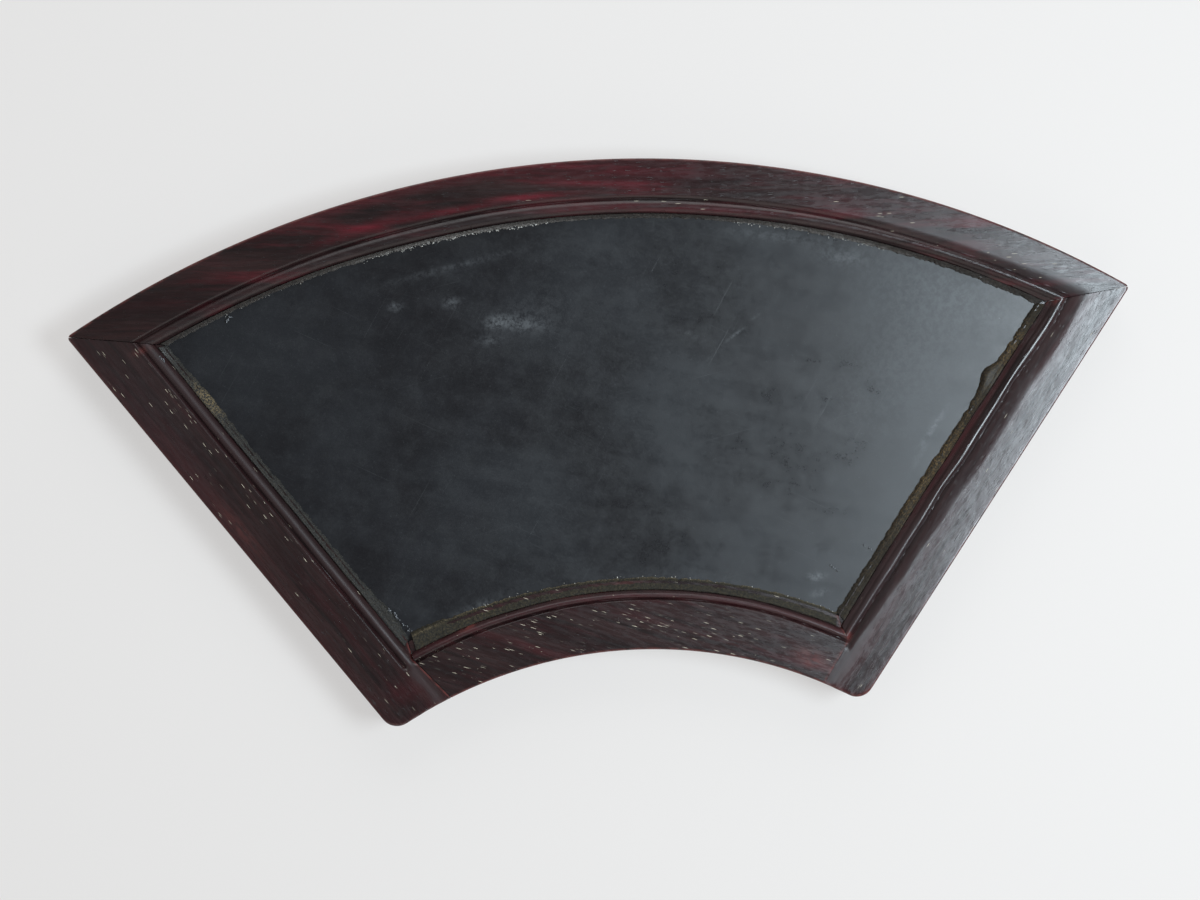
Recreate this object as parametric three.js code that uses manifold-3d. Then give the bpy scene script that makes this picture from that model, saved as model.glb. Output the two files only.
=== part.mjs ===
// A fan-shaped dream stone: a dark slab of stone in a moulded hardwood frame that hangs on a wall.
// Millimetres. +Z is up, +X is to the right as the face is looked at, and the face looks along -Y.
// The origin is on the back of the top rail, halfway along it, where the frame meets the wall.
import * as THREE from "three";
import { mergeVertices } from "three/addons/utils/BufferGeometryUtils.js";
import Module from "manifold-3d";

const wasm = await Module();
wasm.setup();

// Fan outline, measured between its four sharp corners
const TOP_CHORD = 420;
const BOTTOM_CHORD = 186;
const CHORD_GAP = 160;
const TOP_ARC_RADIUS = 399;
const BOTTOM_ARC_RADIUS = 177;
const TOP_CORNER_ROUND = 2;
const BOTTOM_CORNER_ROUND = 7;

// Frame members, from the outer edge to the sight edge, and the rabbet behind their lip
const FRAME_DEPTH = 18;
const TOP_WIDTH = 22;
const SIDE_WIDTH = 26.5;
const BOTTOM_WIDTH = 27;
const RABBET = 3.5;
const LIP_UNDERSIDE = 4.6;
const EDGE_ROUND = 0.8;

// Moulding round the stone: distances outward from the sight edge, and depths below the face
const LIP_DEPTH = 2.6;
const BEAD_START = 2.8;
const BEAD_WIDTH = 3.4;
const BEAD_FOOT_DEPTH = 1.5;
const BEAD_TOP_DEPTH = 0.1;
const GROOVE_DEPTH = 1.1;
const NARROW_COVE = 1.4;
const WIDE_COVE = 4.6;

// Clearances between pieces that meet
const SEAM_GAP = 0.3;
const FIT_GAP = 0.3;

// Joint of the bottom rail and a stile: a mitre across the moulding, then a shoulder to the outer
// edge, whose angle is measured from level, and a tenon in the stile
const SHOULDER_ANGLE = 48;
const TENON_THICK = 5;
const TENON_FROM_BACK = 5.6;
const TENON_LENGTH = 12;
const TENON_WIDTH = 10;
const TENON_FROM_MITRE = 3.4;

// Loose tongue across each top mitre
const SPLINE_WIDTH = 10;
const SPLINE_REACH = 8;
const SPLINE_FROM_CORNER = 12;

// Bamboo pegs, driven from the back
const PEG_RADIUS = 1.6;
const PEG_DEPTH = 13;
const PEG_FROM_SEAM = 4.5;

// Stone slab and the putty that beds it against the lip
const STONE_THICK = 5.2;
const STONE_CLEARANCE = 0.4;
const PUTTY_LEG = 1.9;
const PUTTY_HEIGHT = 1.3;
const PUTTY_EDGE = 0.3;

// Backing boards, the battens let into them, and the brads that hold them in the rabbet
const BOARD_THICK = 3.2;
const BOARD_SPLIT_Z = -88;
const BATTEN_X = 100;
const BATTEN_WIDTH = 15;
const BATTEN_PROUD = 2.6;
const BATTEN_LET_IN = 1.4;
const BRAD_RADIUS = 0.6;
const BRAD_IN_RAIL = 6;
const BRAD_OVER_BOARD = 6;
const TOP_BRADS_A_SIDE = 2;
const BOTTOM_BRADS_A_SIDE = 1;

// Ring hangers in pockets in the back of the top rail
const HANGER_X = 60;
const RING_RADIUS = 5.2;
const RING_WIRE = 0.75;
const STAPLE_ARCH = 1.9;
const STAPLE_WIRE = 0.6;
const STAPLE_LEG = 6;
const PIVOT_ABOVE_RABBET = 3.6;
const POCKET_CLEARANCE = 0.5;

// Fineness of round stretches
const ARC_STEPS = 40;
const ROUND_STEPS = 5;
const BEAD_STEPS = 6;
const EDGE_STEPS = 3;
const PEG_SIDES = 16;
const BRAD_SIDES = 10;
const WIRE_SIDES = 8;
const RING_STEPS = 28;

// How far a cutting shape runs past what it cuts, and how far a corner line is drawn out
const PAST = FRAME_DEPTH / 9;
const FAR = 2 * (SIDE_WIDTH + BOTTOM_WIDTH);
const CORNER_RUN_IN = SIDE_WIDTH * 0.75;
const MITRE_LAP = SEAM_GAP / 15;

// Depths along Y, from the wall at 0 to the face
const FACE_Y = -FRAME_DEPTH;
const LIP_Y = FACE_Y + LIP_UNDERSIDE;
const STONE_FRONT_Y = LIP_Y + FIT_GAP;
const STONE_BACK_Y = STONE_FRONT_Y + STONE_THICK;
const BOARD_FRONT_Y = STONE_BACK_Y + FIT_GAP;
const BOARD_BACK_Y = BOARD_FRONT_Y + BOARD_THICK;
const TENON_BACK_Y = -TENON_FROM_BACK;
const TENON_FRONT_Y = TENON_BACK_Y - TENON_THICK;

// Arc centres and outer corners in the X-Z plane, on the right-hand side
const OUTER_TOP_Z = (TOP_WIDTH - RABBET) / 2;
const TOP_CENTRE_Z = OUTER_TOP_Z - TOP_ARC_RADIUS;
const TOP_CORNER = new THREE.Vector2(TOP_CHORD / 2, arcHeight(TOP_CENTRE_Z, TOP_ARC_RADIUS, TOP_CHORD / 2));
const BOTTOM_CORNER = new THREE.Vector2(BOTTOM_CHORD / 2, TOP_CORNER.y - CHORD_GAP);
const BOTTOM_CENTRE_Z = BOTTOM_CORNER.y - arcHeight(0, BOTTOM_ARC_RADIUS, BOTTOM_CHORD / 2);
const SIDE_DOWN = BOTTOM_CORNER.clone().sub(TOP_CORNER).normalize();
const SIDE_INWARD = new THREE.Vector2(SIDE_DOWN.y, -SIDE_DOWN.x);
const MIDDLE = new THREE.Vector2(0, (TOP_CORNER.y + BOTTOM_CORNER.y) / 2);
const UP = new THREE.Vector2(0, 1);
const SIDES_OF_PANEL = { left: -1, right: 1 };

// Edges of the rabbet and of what lies in it, moved inward from the fan's top, sides and bottom
const SIGHT_INSETS = [TOP_WIDTH, SIDE_WIDTH, BOTTOM_WIDTH];
const RABBET_INSETS = SIGHT_INSETS.map((width) => width - RABBET);
const SLAB_INSETS = RABBET_INSETS.map((width) => width + STONE_CLEARANCE);

const ROSEWOOD = { color: 0x2a1a18, roughness: 0.45, metalness: 0 };
const RED_ROSEWOOD = { color: 0x3a1418, roughness: 0.4, metalness: 0 };
const DARK_STONE = { color: 0x22262a, roughness: 0.55, metalness: 0 };
const LACQUER_PUTTY = { color: 0x4a4634, roughness: 0.9, metalness: 0 };
const SOFTWOOD = { color: 0x6a4a30, roughness: 0.8, metalness: 0 };
const BAMBOO = { color: 0x9a7440, roughness: 0.7, metalness: 0 };
const BRASS = { color: 0x8c6a32, roughness: 0.4, metalness: 1 };
const IRON = { color: 0x3a332e, roughness: 0.7, metalness: 0.8 };

const panel = new THREE.Group();

function add(name, body, material) {
  const mesh = new THREE.Mesh(geometryOf(body), new THREE.MeshStandardMaterial(material));
  mesh.name = name;
  panel.add(mesh);
}

// A closed geometry as a solid that can be cut and joined, and back again
function solid(geometry) {
  const loose = geometry.index ? geometry.toNonIndexed() : geometry;
  const bare = new THREE.BufferGeometry().setAttribute("position", loose.getAttribute("position"));
  const merged = mergeVertices(bare, 1e-4);
  return new wasm.Manifold(
    new wasm.Mesh({
      numProp: 3,
      vertProperties: merged.attributes.position.array,
      triVerts: new Uint32Array(merged.index.array),
    }),
  );
}

function geometryOf(body) {
  const mesh = body.getMesh();
  return new THREE.BufferGeometry()
    .setAttribute("position", new THREE.BufferAttribute(mesh.vertProperties, 3))
    .setIndex(new THREE.BufferAttribute(mesh.triVerts, 1));
}

// A flat outline in X-Z, standing from one depth to another
function plate(points, frontY, backY) {
  const geometry = new THREE.ExtrudeGeometry(new THREE.Shape(points), {
    depth: backY - frontY,
    bevelEnabled: false,
  });
  return solid(geometry.rotateX(Math.PI / 2).translate(0, backY, 0));
}

// A straight bar in X-Z, from its start along a direction
function bar(start, along, length, width, frontY, backY) {
  const across = new THREE.Vector2(-along.y, along.x).multiplyScalar(width / 2);
  const end = start.clone().addScaledVector(along, length);
  const near = [start.clone().add(across), start.clone().sub(across)];
  const far = [end.clone().sub(across), end.clone().add(across)];
  return plate([...near, ...far], frontY, backY);
}

// Height of an arc about (0, centreZ) at a distance to the side
function arcHeight(centreZ, radius, x) {
  return centreZ + Math.sqrt(radius ** 2 - x ** 2);
}

function arcPoints(centreZ, radius, fromX, toX) {
  const start = Math.asin(fromX / radius);
  const turn = Math.asin(toX / radius) - start;
  return Array.from({ length: ARC_STEPS + 1 }, (_, i) => {
    const angle = start + (turn * i) / ARC_STEPS;
    return new THREE.Vector2(radius * Math.sin(angle), centreZ + radius * Math.cos(angle));
  });
}

function onSide(sign, point) {
  return new THREE.Vector2(sign * point.x, point.y);
}

// Where an arc about (0, centreZ) meets the right side's line once that line is moved inward
function sideMeets(centreZ, radius, inset) {
  const from = TOP_CORNER.clone().addScaledVector(SIDE_INWARD, inset);
  const fromCentre = new THREE.Vector2(from.x, from.y - centreZ);
  const along = fromCentre.dot(SIDE_DOWN);
  const root = Math.sqrt(along ** 2 - fromCentre.lengthSq() + radius ** 2);
  const ways = [root - along, -root - along];
  return from.addScaledVector(SIDE_DOWN, Math.abs(ways[0]) < Math.abs(ways[1]) ? ways[0] : ways[1]);
}

// The fan's right-hand corners and its whole outline, with its edges moved inward
function fanCorners(top, side, bottom) {
  return {
    upper: sideMeets(TOP_CENTRE_Z, TOP_ARC_RADIUS - top, side),
    lower: sideMeets(BOTTOM_CENTRE_Z, BOTTOM_ARC_RADIUS + bottom, side),
  };
}

function fan(top, side, bottom) {
  const { upper, lower } = fanCorners(top, side, bottom);
  return [
    ...arcPoints(TOP_CENTRE_Z, TOP_ARC_RADIUS - top, -upper.x, upper.x),
    ...arcPoints(BOTTOM_CENTRE_Z, BOTTOM_ARC_RADIUS + bottom, lower.x, -lower.x),
  ];
}

// The first outline point past a distance from a corner, and the place at that distance
function walkFrom(points, corner, step, distance) {
  let at = corner;
  let left = distance;
  for (;;) {
    const next = (at + step + points.length) % points.length;
    const span = points[at].distanceTo(points[next]);
    if (span >= left) return { next, place: points[at].clone().lerp(points[next], left / span) };
    left -= span;
    at = next;
  }
}

// An outline with one corner worn round
function roundCorner(points, corner, distance) {
  const nearest = points.reduce((best, p) => (p.distanceTo(corner) < best.distanceTo(corner) ? p : best));
  const at = points.indexOf(nearest);
  const before = walkFrom(points, at, -1, distance);
  const after = walkFrom(points, at, 1, distance);
  const worn = new THREE.QuadraticBezierCurve(before.place, nearest, after.place);
  const rest = [];
  for (let i = after.next; i !== before.next; i = (i + 1) % points.length) rest.push(points[i]);
  return [...rest, points[before.next], ...worn.getPoints(ROUND_STEPS)];
}

// A closed section carried through stations, each of which places a section point in space
function sweep(section, stations) {
  const outline = section.map(([across, height]) => new THREE.Vector2(across, height));
  if (THREE.ShapeUtils.isClockWise(outline)) outline.reverse();
  const count = outline.length;
  const positions = stations.flatMap((place) => outline.flatMap((p) => place(p.x, p.y)));
  const triangles = [];
  for (let s = 0; s + 1 < stations.length; s++) {
    for (let i = 0; i < count; i++) {
      const a = s * count + i;
      const b = s * count + ((i + 1) % count);
      triangles.push([a, b, a + count], [b, b + count, a + count]);
    }
  }
  const last = (stations.length - 1) * count;
  for (const [a, b, c] of THREE.ShapeUtils.triangulateShape(outline, [])) {
    triangles.push([a, c, b], [last + a, last + b, last + c]);
  }
  const closed = (faces) =>
    solid(
      new THREE.BufferGeometry()
        .setAttribute("position", new THREE.Float32BufferAttribute(positions, 3))
        .setIndex(faces.flat()),
    );
  const made = closed(triangles);
  return made.volume() > 0 ? made : closed(triangles.map(([a, b, c]) => [a, c, b]));
}

// Stations along each sight edge. A section's first number runs away from the stone, its second
// out of the face.
const SIGHT = fanCorners(...SIGHT_INSETS);

function arcStations(centreZ, radius, outward, reach) {
  return arcPoints(centreZ, radius, -reach, reach).map((p) => {
    const away = new THREE.Vector2(p.x, p.y - centreZ).normalize().multiplyScalar(outward);
    return (out, height) => [p.x + away.x * out, FACE_Y - height, p.y + away.y * out];
  });
}

function sideStations(sign) {
  const ends = [
    SIGHT.upper.clone().addScaledVector(SIDE_DOWN, -FAR / 3),
    SIGHT.lower.clone().addScaledVector(SIDE_DOWN, FAR / 3),
  ];
  return ends.map((p) => (out, height) => {
    const place = p.clone().addScaledVector(SIDE_INWARD, -out);
    return [sign * place.x, FACE_Y - height, place.y];
  });
}

const TOP_SIGHT_RADIUS = TOP_ARC_RADIUS - TOP_WIDTH;
const BOTTOM_SIGHT_RADIUS = BOTTOM_ARC_RADIUS + BOTTOM_WIDTH;
const EDGES = {
  top: {
    cove: NARROW_COVE,
    stations: arcStations(TOP_CENTRE_Z, TOP_SIGHT_RADIUS, 1, SIGHT.upper.x + FAR / 3),
  },
  bottom: {
    cove: NARROW_COVE,
    stations: arcStations(BOTTOM_CENTRE_Z, BOTTOM_SIGHT_RADIUS, -1, SIGHT.lower.x + FAR / 3),
  },
  left: { cove: NARROW_COVE, stations: sideStations(-1) },
  right: { cove: WIDE_COVE, stations: sideStations(1) },
};

// Corner lines on the right: the two mitres of the moulding, and the bottom rail's shoulder, which
// starts where the lower mitre leaves the moulding
const TOP_MITRE = TOP_CORNER.clone().sub(SIGHT.upper).normalize();
const BOTTOM_MITRE = BOTTOM_CORNER.clone().sub(SIGHT.lower).normalize();
const MITRE_LENGTH = (BEAD_START + BEAD_WIDTH + NARROW_COVE) / Math.abs(BOTTOM_MITRE.cross(SIDE_DOWN));
const MITRE_END = SIGHT.lower.clone().addScaledVector(BOTTOM_MITRE, MITRE_LENGTH);
const SHOULDER = new THREE.Vector2(-1, 0).rotateAround(
  new THREE.Vector2(),
  THREE.MathUtils.degToRad(SHOULDER_ANGLE),
);
const ACROSS_MITRE = new THREE.Vector2(-TOP_MITRE.y, TOP_MITRE.x);
const INTO_STILE = new THREE.Vector2(-SHOULDER.y, SHOULDER.x);

// The plane divided at its corner lines into a zone for each edge. The lower line leaves its mitre
// at the mitre's end, for the outer edge. A lap makes zones overlap.
function zones(lowerLine, lap) {
  const cornerLine = (sight, mitre, turn, along, rise) =>
    [
      sight.clone().addScaledVector(mitre, -CORNER_RUN_IN),
      turn.clone(),
      turn.clone().addScaledVector(along, FAR),
    ].map((p) => p.addScaledVector(UP, rise));
  const upper = (rise) => cornerLine(SIGHT.upper, TOP_MITRE, SIGHT.upper, TOP_MITRE, rise);
  const lower = (rise) => cornerLine(SIGHT.lower, BOTTOM_MITRE, MITRE_END, lowerLine, rise);
  const outX = TOP_CORNER.x + FAR;
  const highZ = OUTER_TOP_Z + FAR;
  const lowZ = BOTTOM_CORNER.y - 2 * FAR;
  const underLower = new THREE.Vector2(lower(0)[2].x, lowZ);
  const corners = [new THREE.Vector2(outX, lowZ), new THREE.Vector2(outX, highZ)];
  const side = [MIDDLE, ...lower(-lap), underLower, ...corners, ...upper(lap).reverse()];
  const both = (half) => [...half, ...half.slice(1).reverse().map((p) => onSide(-1, p))];
  const block = (points) => plate(points, FACE_Y - 2 * PAST, 2 * PAST);
  return {
    top: block(both([MIDDLE, ...upper(-lap), corners[1]])),
    bottom: block(both([MIDDLE, ...lower(lap), underLower])),
    right: block(side),
    left: block(side.map((p) => onSide(-1, p))),
  };
}

// What the moulding plane takes off along one edge. It leaves a lip that slopes to the stone, a
// round bead, and a groove that coves up to the flat face.
function mouldingCut(cove) {
  const grooveStart = BEAD_START + BEAD_WIDTH;
  const bead = Array.from({ length: BEAD_STEPS + 1 }, (_, i) => {
    const angle = Math.PI * (1 - i / BEAD_STEPS);
    return [
      BEAD_START + (BEAD_WIDTH / 2) * (1 + Math.cos(angle)),
      -BEAD_FOOT_DEPTH + (BEAD_FOOT_DEPTH - BEAD_TOP_DEPTH) * Math.sin(angle),
    ];
  });
  return [
    [-PAST, PAST],
    [-PAST, -LIP_DEPTH],
    [0, -LIP_DEPTH],
    ...bead,
    [grooveStart + cove / 3, -GROOVE_DEPTH],
    [grooveStart + (2 * cove) / 3, -GROOVE_DEPTH / 3],
    [grooveStart + cove, 0],
    [grooveStart + cove + PAST, PAST],
  ];
}

// The fan in solid wood, its corners and its front edge worn round
function roundedBlank() {
  let outline = fan(0, 0, 0);
  for (const sign of Object.values(SIDES_OF_PANEL)) {
    outline = roundCorner(outline, onSide(sign, TOP_CORNER), TOP_CORNER_ROUND);
    outline = roundCorner(outline, onSide(sign, BOTTOM_CORNER), BOTTOM_CORNER_ROUND);
  }
  const geometry = new THREE.ExtrudeGeometry(new THREE.Shape(outline), {
    depth: FRAME_DEPTH,
    bevelThickness: EDGE_ROUND,
    bevelSize: EDGE_ROUND,
    bevelOffset: -EDGE_ROUND,
    bevelSegments: EDGE_STEPS,
  });
  const blank = solid(geometry.rotateX(Math.PI / 2).translate(0, EDGE_ROUND, 0));
  return blank.intersect(plate(fan(-PAST, -PAST, -PAST), FACE_Y - PAST, 0));
}

// A seam through the whole depth, from just before its start
function seam(sign, start, along, length = FAR) {
  const from = start.clone().addScaledVector(along, -PAST);
  return bar(onSide(sign, from), onSide(sign, along), PAST + length, SEAM_GAP, FACE_Y - PAST, PAST);
}

// The bottom rail's seam: along the mitre from the sight edge, then along the shoulder
function railSeam(sign) {
  const halfGap = SEAM_GAP / 2;
  const mitre = seam(sign, SIGHT.lower, BOTTOM_MITRE, MITRE_LENGTH + halfGap);
  const start = MITRE_END.clone().addScaledVector(SHOULDER, PAST);
  return mitre.add(seam(sign, start, SHOULDER));
}

// The frame as one piece, moulded all round, and then parted at its four seams
function wholeFrame() {
  const planed = zones(BOTTOM_MITRE, MITRE_LAP);
  let frame = roundedBlank()
    .subtract(plate(fan(...SIGHT_INSETS), FACE_Y - PAST, PAST))
    .subtract(plate(fan(...RABBET_INSETS), LIP_Y, PAST));
  for (const [name, edge] of Object.entries(EDGES)) {
    frame = frame.subtract(sweep(mouldingCut(edge.cove), edge.stations).intersect(planed[name]));
  }
  for (const sign of Object.values(SIDES_OF_PANEL)) {
    frame = frame.subtract(seam(sign, SIGHT.upper, TOP_MITRE));
    frame = frame.subtract(railSeam(sign));
  }
  return frame;
}

// Middles of the joints on the right: the tongue across the mitre, and the tenon's root
const SPLINE_MIDDLE = TOP_CORNER.clone().addScaledVector(
  TOP_MITRE,
  -SPLINE_FROM_CORNER - SPLINE_WIDTH / 2,
);
const TENON_ROOT = MITRE_END.clone().addScaledVector(SHOULDER, TENON_FROM_MITRE + TENON_WIDTH / 2);

function tenon(sign, clearance) {
  const root = TENON_ROOT.clone().addScaledVector(INTO_STILE, -PAST);
  const length = PAST + TENON_LENGTH + clearance;
  const width = TENON_WIDTH + 2 * clearance;
  const [front, back] = [TENON_FRONT_Y - clearance, TENON_BACK_Y + clearance];
  return bar(onSide(sign, root), onSide(sign, INTO_STILE), length, width, front, back);
}

function spline(sign, clearance) {
  const reach = SPLINE_REACH + clearance;
  const root = SPLINE_MIDDLE.clone().addScaledVector(ACROSS_MITRE, -reach);
  const width = SPLINE_WIDTH + 2 * clearance;
  const [front, back] = [TENON_FRONT_Y - clearance, TENON_BACK_Y + clearance];
  return bar(onSide(sign, root), onSide(sign, ACROSS_MITRE), 2 * reach, width, front, back);
}

// Where the pegs stand: through the tongue in the rail and in the stile, and through the tenon
const PEG_PLACES = {
  rail: SPLINE_MIDDLE.clone().addScaledVector(ACROSS_MITRE, PEG_FROM_SEAM),
  stile: SPLINE_MIDDLE.clone().addScaledVector(ACROSS_MITRE, -PEG_FROM_SEAM),
  tenon: TENON_ROOT.clone().addScaledVector(INTO_STILE, TENON_LENGTH / 2),
};

function peg(sign, where, clearance) {
  const place = onSide(sign, PEG_PLACES[where]);
  const radius = PEG_RADIUS + clearance;
  const geometry = new THREE.CylinderGeometry(radius, radius, PEG_DEPTH + 2 * clearance, PEG_SIDES);
  return solid(geometry.translate(place.x, -PEG_DEPTH / 2, place.y));
}

// Brads lie on the backs of the boards, with their points in the rabbet's wall. They are spaced
// evenly along each run of the rabbet.
const RABBET_RADIUS = TOP_ARC_RADIUS - TOP_WIDTH + RABBET;
const BRAD_Y = BOARD_BACK_Y + BRAD_RADIUS + FIT_GAP;

function bradPlaces() {
  const alongArc = (centreZ, radius, outward, reach, count) =>
    Array.from({ length: count }, (_, i) => {
      const x = (reach * (i + 0.5)) / count;
      const place = new THREE.Vector2(x, arcHeight(centreZ, radius, x));
      const away = new THREE.Vector2(x, place.y - centreZ).normalize().multiplyScalar(outward);
      return { place, away };
    });
  const wall = fanCorners(...RABBET_INSETS);
  const bottomRadius = BOTTOM_ARC_RADIUS + BOTTOM_WIDTH - RABBET;
  const rightHalf = [
    ...alongArc(TOP_CENTRE_Z, RABBET_RADIUS, 1, wall.upper.x, TOP_BRADS_A_SIDE),
    { place: wall.upper.clone().lerp(wall.lower, 0.5), away: SIDE_INWARD.clone().negate() },
    ...alongArc(BOTTOM_CENTRE_Z, bottomRadius, -1, wall.lower.x, BOTTOM_BRADS_A_SIDE),
  ];
  return Object.values(SIDES_OF_PANEL).flatMap((sign) =>
    rightHalf.map(({ place, away }) => ({ place: onSide(sign, place), away: onSide(sign, away) })),
  );
}

function brad({ place, away }, clearance) {
  const radius = BRAD_RADIUS + clearance;
  const length = BRAD_IN_RAIL + BRAD_OVER_BOARD + 2 * clearance;
  const geometry = new THREE.CylinderGeometry(radius, radius, length, BRAD_SIDES);
  geometry.translate(0, (BRAD_IN_RAIL - BRAD_OVER_BOARD) / 2, 0);
  geometry.rotateX(Math.PI / 2).rotateY(Math.atan2(away.x, away.y));
  return solid(geometry.translate(place.x, BRAD_Y, place.y));
}

// A ring hanger: its pivot line, the pocket it folds into, the ring, and the staple that holds it
const PIVOT_Z = arcHeight(TOP_CENTRE_Z, RABBET_RADIUS, HANGER_X) + PIVOT_ABOVE_RABBET;
const PIVOT_Y = BOARD_BACK_Y + RING_WIRE + POCKET_CLEARANCE;

function pocket(sign) {
  const start = new THREE.Vector2(sign * HANGER_X, PIVOT_Z - PIVOT_ABOVE_RABBET - FAR / 4);
  const top = PIVOT_Z + 2 * RING_RADIUS + RING_WIRE + POCKET_CLEARANCE;
  const width = 2 * (RING_RADIUS + RING_WIRE + POCKET_CLEARANCE);
  return bar(start, UP, top - start.y, width, BOARD_BACK_Y, PAST);
}

function ring(sign) {
  const geometry = new THREE.TorusGeometry(RING_RADIUS, RING_WIRE, WIRE_SIDES, RING_STEPS);
  geometry.rotateX(Math.PI / 2);
  return solid(geometry.translate(sign * HANGER_X, PIVOT_Y, PIVOT_Z - RING_RADIUS));
}

function staple(sign, clearance) {
  const footY = BOARD_BACK_Y - STAPLE_LEG - clearance;
  const bend = Array.from({ length: WIRE_SIDES + 1 }, (_, i) => {
    const angle = (Math.PI * i) / WIRE_SIDES;
    return [PIVOT_Y + STAPLE_ARCH * Math.sin(angle), PIVOT_Z + STAPLE_ARCH * Math.cos(angle)];
  });
  const route = [[footY, PIVOT_Z + STAPLE_ARCH], ...bend, [footY, PIVOT_Z - STAPLE_ARCH]];
  const points = route.map(([y, z]) => new THREE.Vector2(y, z));
  const stations = points.map((p, i) => {
    const ahead = points[Math.min(i + 1, points.length - 1)];
    const along = ahead.clone().sub(points[Math.max(i - 1, 0)]).normalize();
    return (a, b) => [sign * HANGER_X + a, p.x + b * along.y, p.y - b * along.x];
  });
  const radius = STAPLE_WIRE + clearance;
  const section = Array.from({ length: WIRE_SIDES }, (_, i) => {
    const angle = (2 * Math.PI * i) / WIRE_SIDES;
    return [radius * Math.cos(angle), radius * Math.sin(angle)];
  });
  return sweep(section, stations);
}

// The four members of the frame, with every joint cut in them
function addFrame() {
  const frame = wholeFrame();
  const parts = zones(SHOULDER, 0);
  let top = frame.intersect(parts.top);
  let bottom = frame.intersect(parts.bottom);
  const stiles = {};
  for (const [name, sign] of Object.entries(SIDES_OF_PANEL)) {
    top = top
      .subtract(spline(sign, FIT_GAP))
      .subtract(peg(sign, "rail", FIT_GAP))
      .subtract(pocket(sign))
      .subtract(staple(sign, FIT_GAP));
    bottom = bottom.add(tenon(sign, 0)).subtract(peg(sign, "tenon", FIT_GAP));
    stiles[name] = frame
      .intersect(parts[name])
      .subtract(spline(sign, FIT_GAP))
      .subtract(tenon(sign, FIT_GAP))
      .subtract(peg(sign, "stile", FIT_GAP))
      .subtract(peg(sign, "tenon", FIT_GAP));
  }
  for (const place of bradPlaces()) {
    const hole = brad(place, FIT_GAP);
    top = top.subtract(hole);
    bottom = bottom.subtract(hole);
    for (const name of Object.keys(stiles)) stiles[name] = stiles[name].subtract(hole);
  }
  add("top_rail", top, RED_ROSEWOOD);
  add("bottom_rail", bottom, ROSEWOOD);
  add("left_stile", stiles.left, ROSEWOOD);
  add("right_stile", stiles.right, ROSEWOOD);
}

function addJoinery(name, sign) {
  const tongue = spline(sign, 0)
    .subtract(peg(sign, "rail", FIT_GAP))
    .subtract(peg(sign, "stile", FIT_GAP));
  add(`${name}_mitre_spline`, tongue, ROSEWOOD);
  for (const where of Object.keys(PEG_PLACES)) {
    add(`${name}_${where}_peg`, peg(sign, where, 0), BAMBOO);
  }
}

function addStone() {
  add("stone_slab", plate(fan(...SLAB_INSETS), STONE_FRONT_Y, STONE_BACK_Y), DARK_STONE);
}

// A fillet of putty in the angle between the lip and the stone, parted at the mitres
function addPutty() {
  const edgeZones = zones(BOTTOM_MITRE, 0);
  const root = -FIT_GAP;
  const base = FACE_Y - STONE_FRONT_Y + FIT_GAP;
  const section = [
    [root, base],
    [root, base + PUTTY_HEIGHT],
    [root - PUTTY_LEG, base + PUTTY_EDGE],
    [root - PUTTY_LEG, base],
  ];
  const inward = (sight, mitre) => sight.clone().addScaledVector(mitre, -FAR / 2);
  for (const [name, edge] of Object.entries(EDGES)) {
    let strip = sweep(section, edge.stations).intersect(edgeZones[name]);
    for (const sign of Object.values(SIDES_OF_PANEL)) {
      strip = strip.subtract(seam(sign, inward(SIGHT.upper, TOP_MITRE), TOP_MITRE));
      strip = strip.subtract(seam(sign, inward(SIGHT.lower, BOTTOM_MITRE), BOTTOM_MITRE));
    }
    add(`${name}_putty`, strip, LACQUER_PUTTY);
  }
}

function batten(sign, clearance) {
  const start = new THREE.Vector2(sign * BATTEN_X, BOTTOM_CORNER.y - FAR);
  const width = BATTEN_WIDTH + 2 * clearance;
  const frontY = BOARD_BACK_Y - BATTEN_LET_IN - clearance;
  const strip = bar(start, UP, OUTER_TOP_Z - start.y, width, frontY, BOARD_BACK_Y + BATTEN_PROUD);
  return strip.intersect(plate(fan(...SLAB_INSETS), FACE_Y, PAST));
}

function addBacking() {
  const boards = plate(fan(...SLAB_INSETS), BOARD_FRONT_Y, BOARD_BACK_Y)
    .subtract(batten(-1, FIT_GAP))
    .subtract(batten(1, FIT_GAP));
  const level = (z) => new THREE.Vector2(-TOP_CHORD, z);
  const right = new THREE.Vector2(1, 0);
  const height = 2 * (OUTER_TOP_Z - BOTTOM_CORNER.y);
  const half = (z) => bar(level(z), right, 2 * TOP_CHORD, height, FACE_Y, PAST);
  const shift = (height + SEAM_GAP) / 2;
  add("upper_backing_board", boards.intersect(half(BOARD_SPLIT_Z + shift)), SOFTWOOD);
  add("lower_backing_board", boards.intersect(half(BOARD_SPLIT_Z - shift)), SOFTWOOD);
  bradPlaces().forEach((place, i) => add(`board_brad_${i + 1}`, brad(place, 0), IRON));
}

addFrame();
addStone();
addPutty();
addBacking();
for (const [name, sign] of Object.entries(SIDES_OF_PANEL)) {
  addJoinery(name, sign);
  add(`${name}_batten`, batten(sign, 0), SOFTWOOD);
  add(`${name}_staple`, staple(sign, 0), BRASS);
  add(`${name}_ring`, ring(sign), BRASS);
}

export default panel;
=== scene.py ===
import random
from math import asin, cos, hypot, pi, radians, sin, sqrt

import bpy
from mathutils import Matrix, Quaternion, Vector, noise


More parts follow.
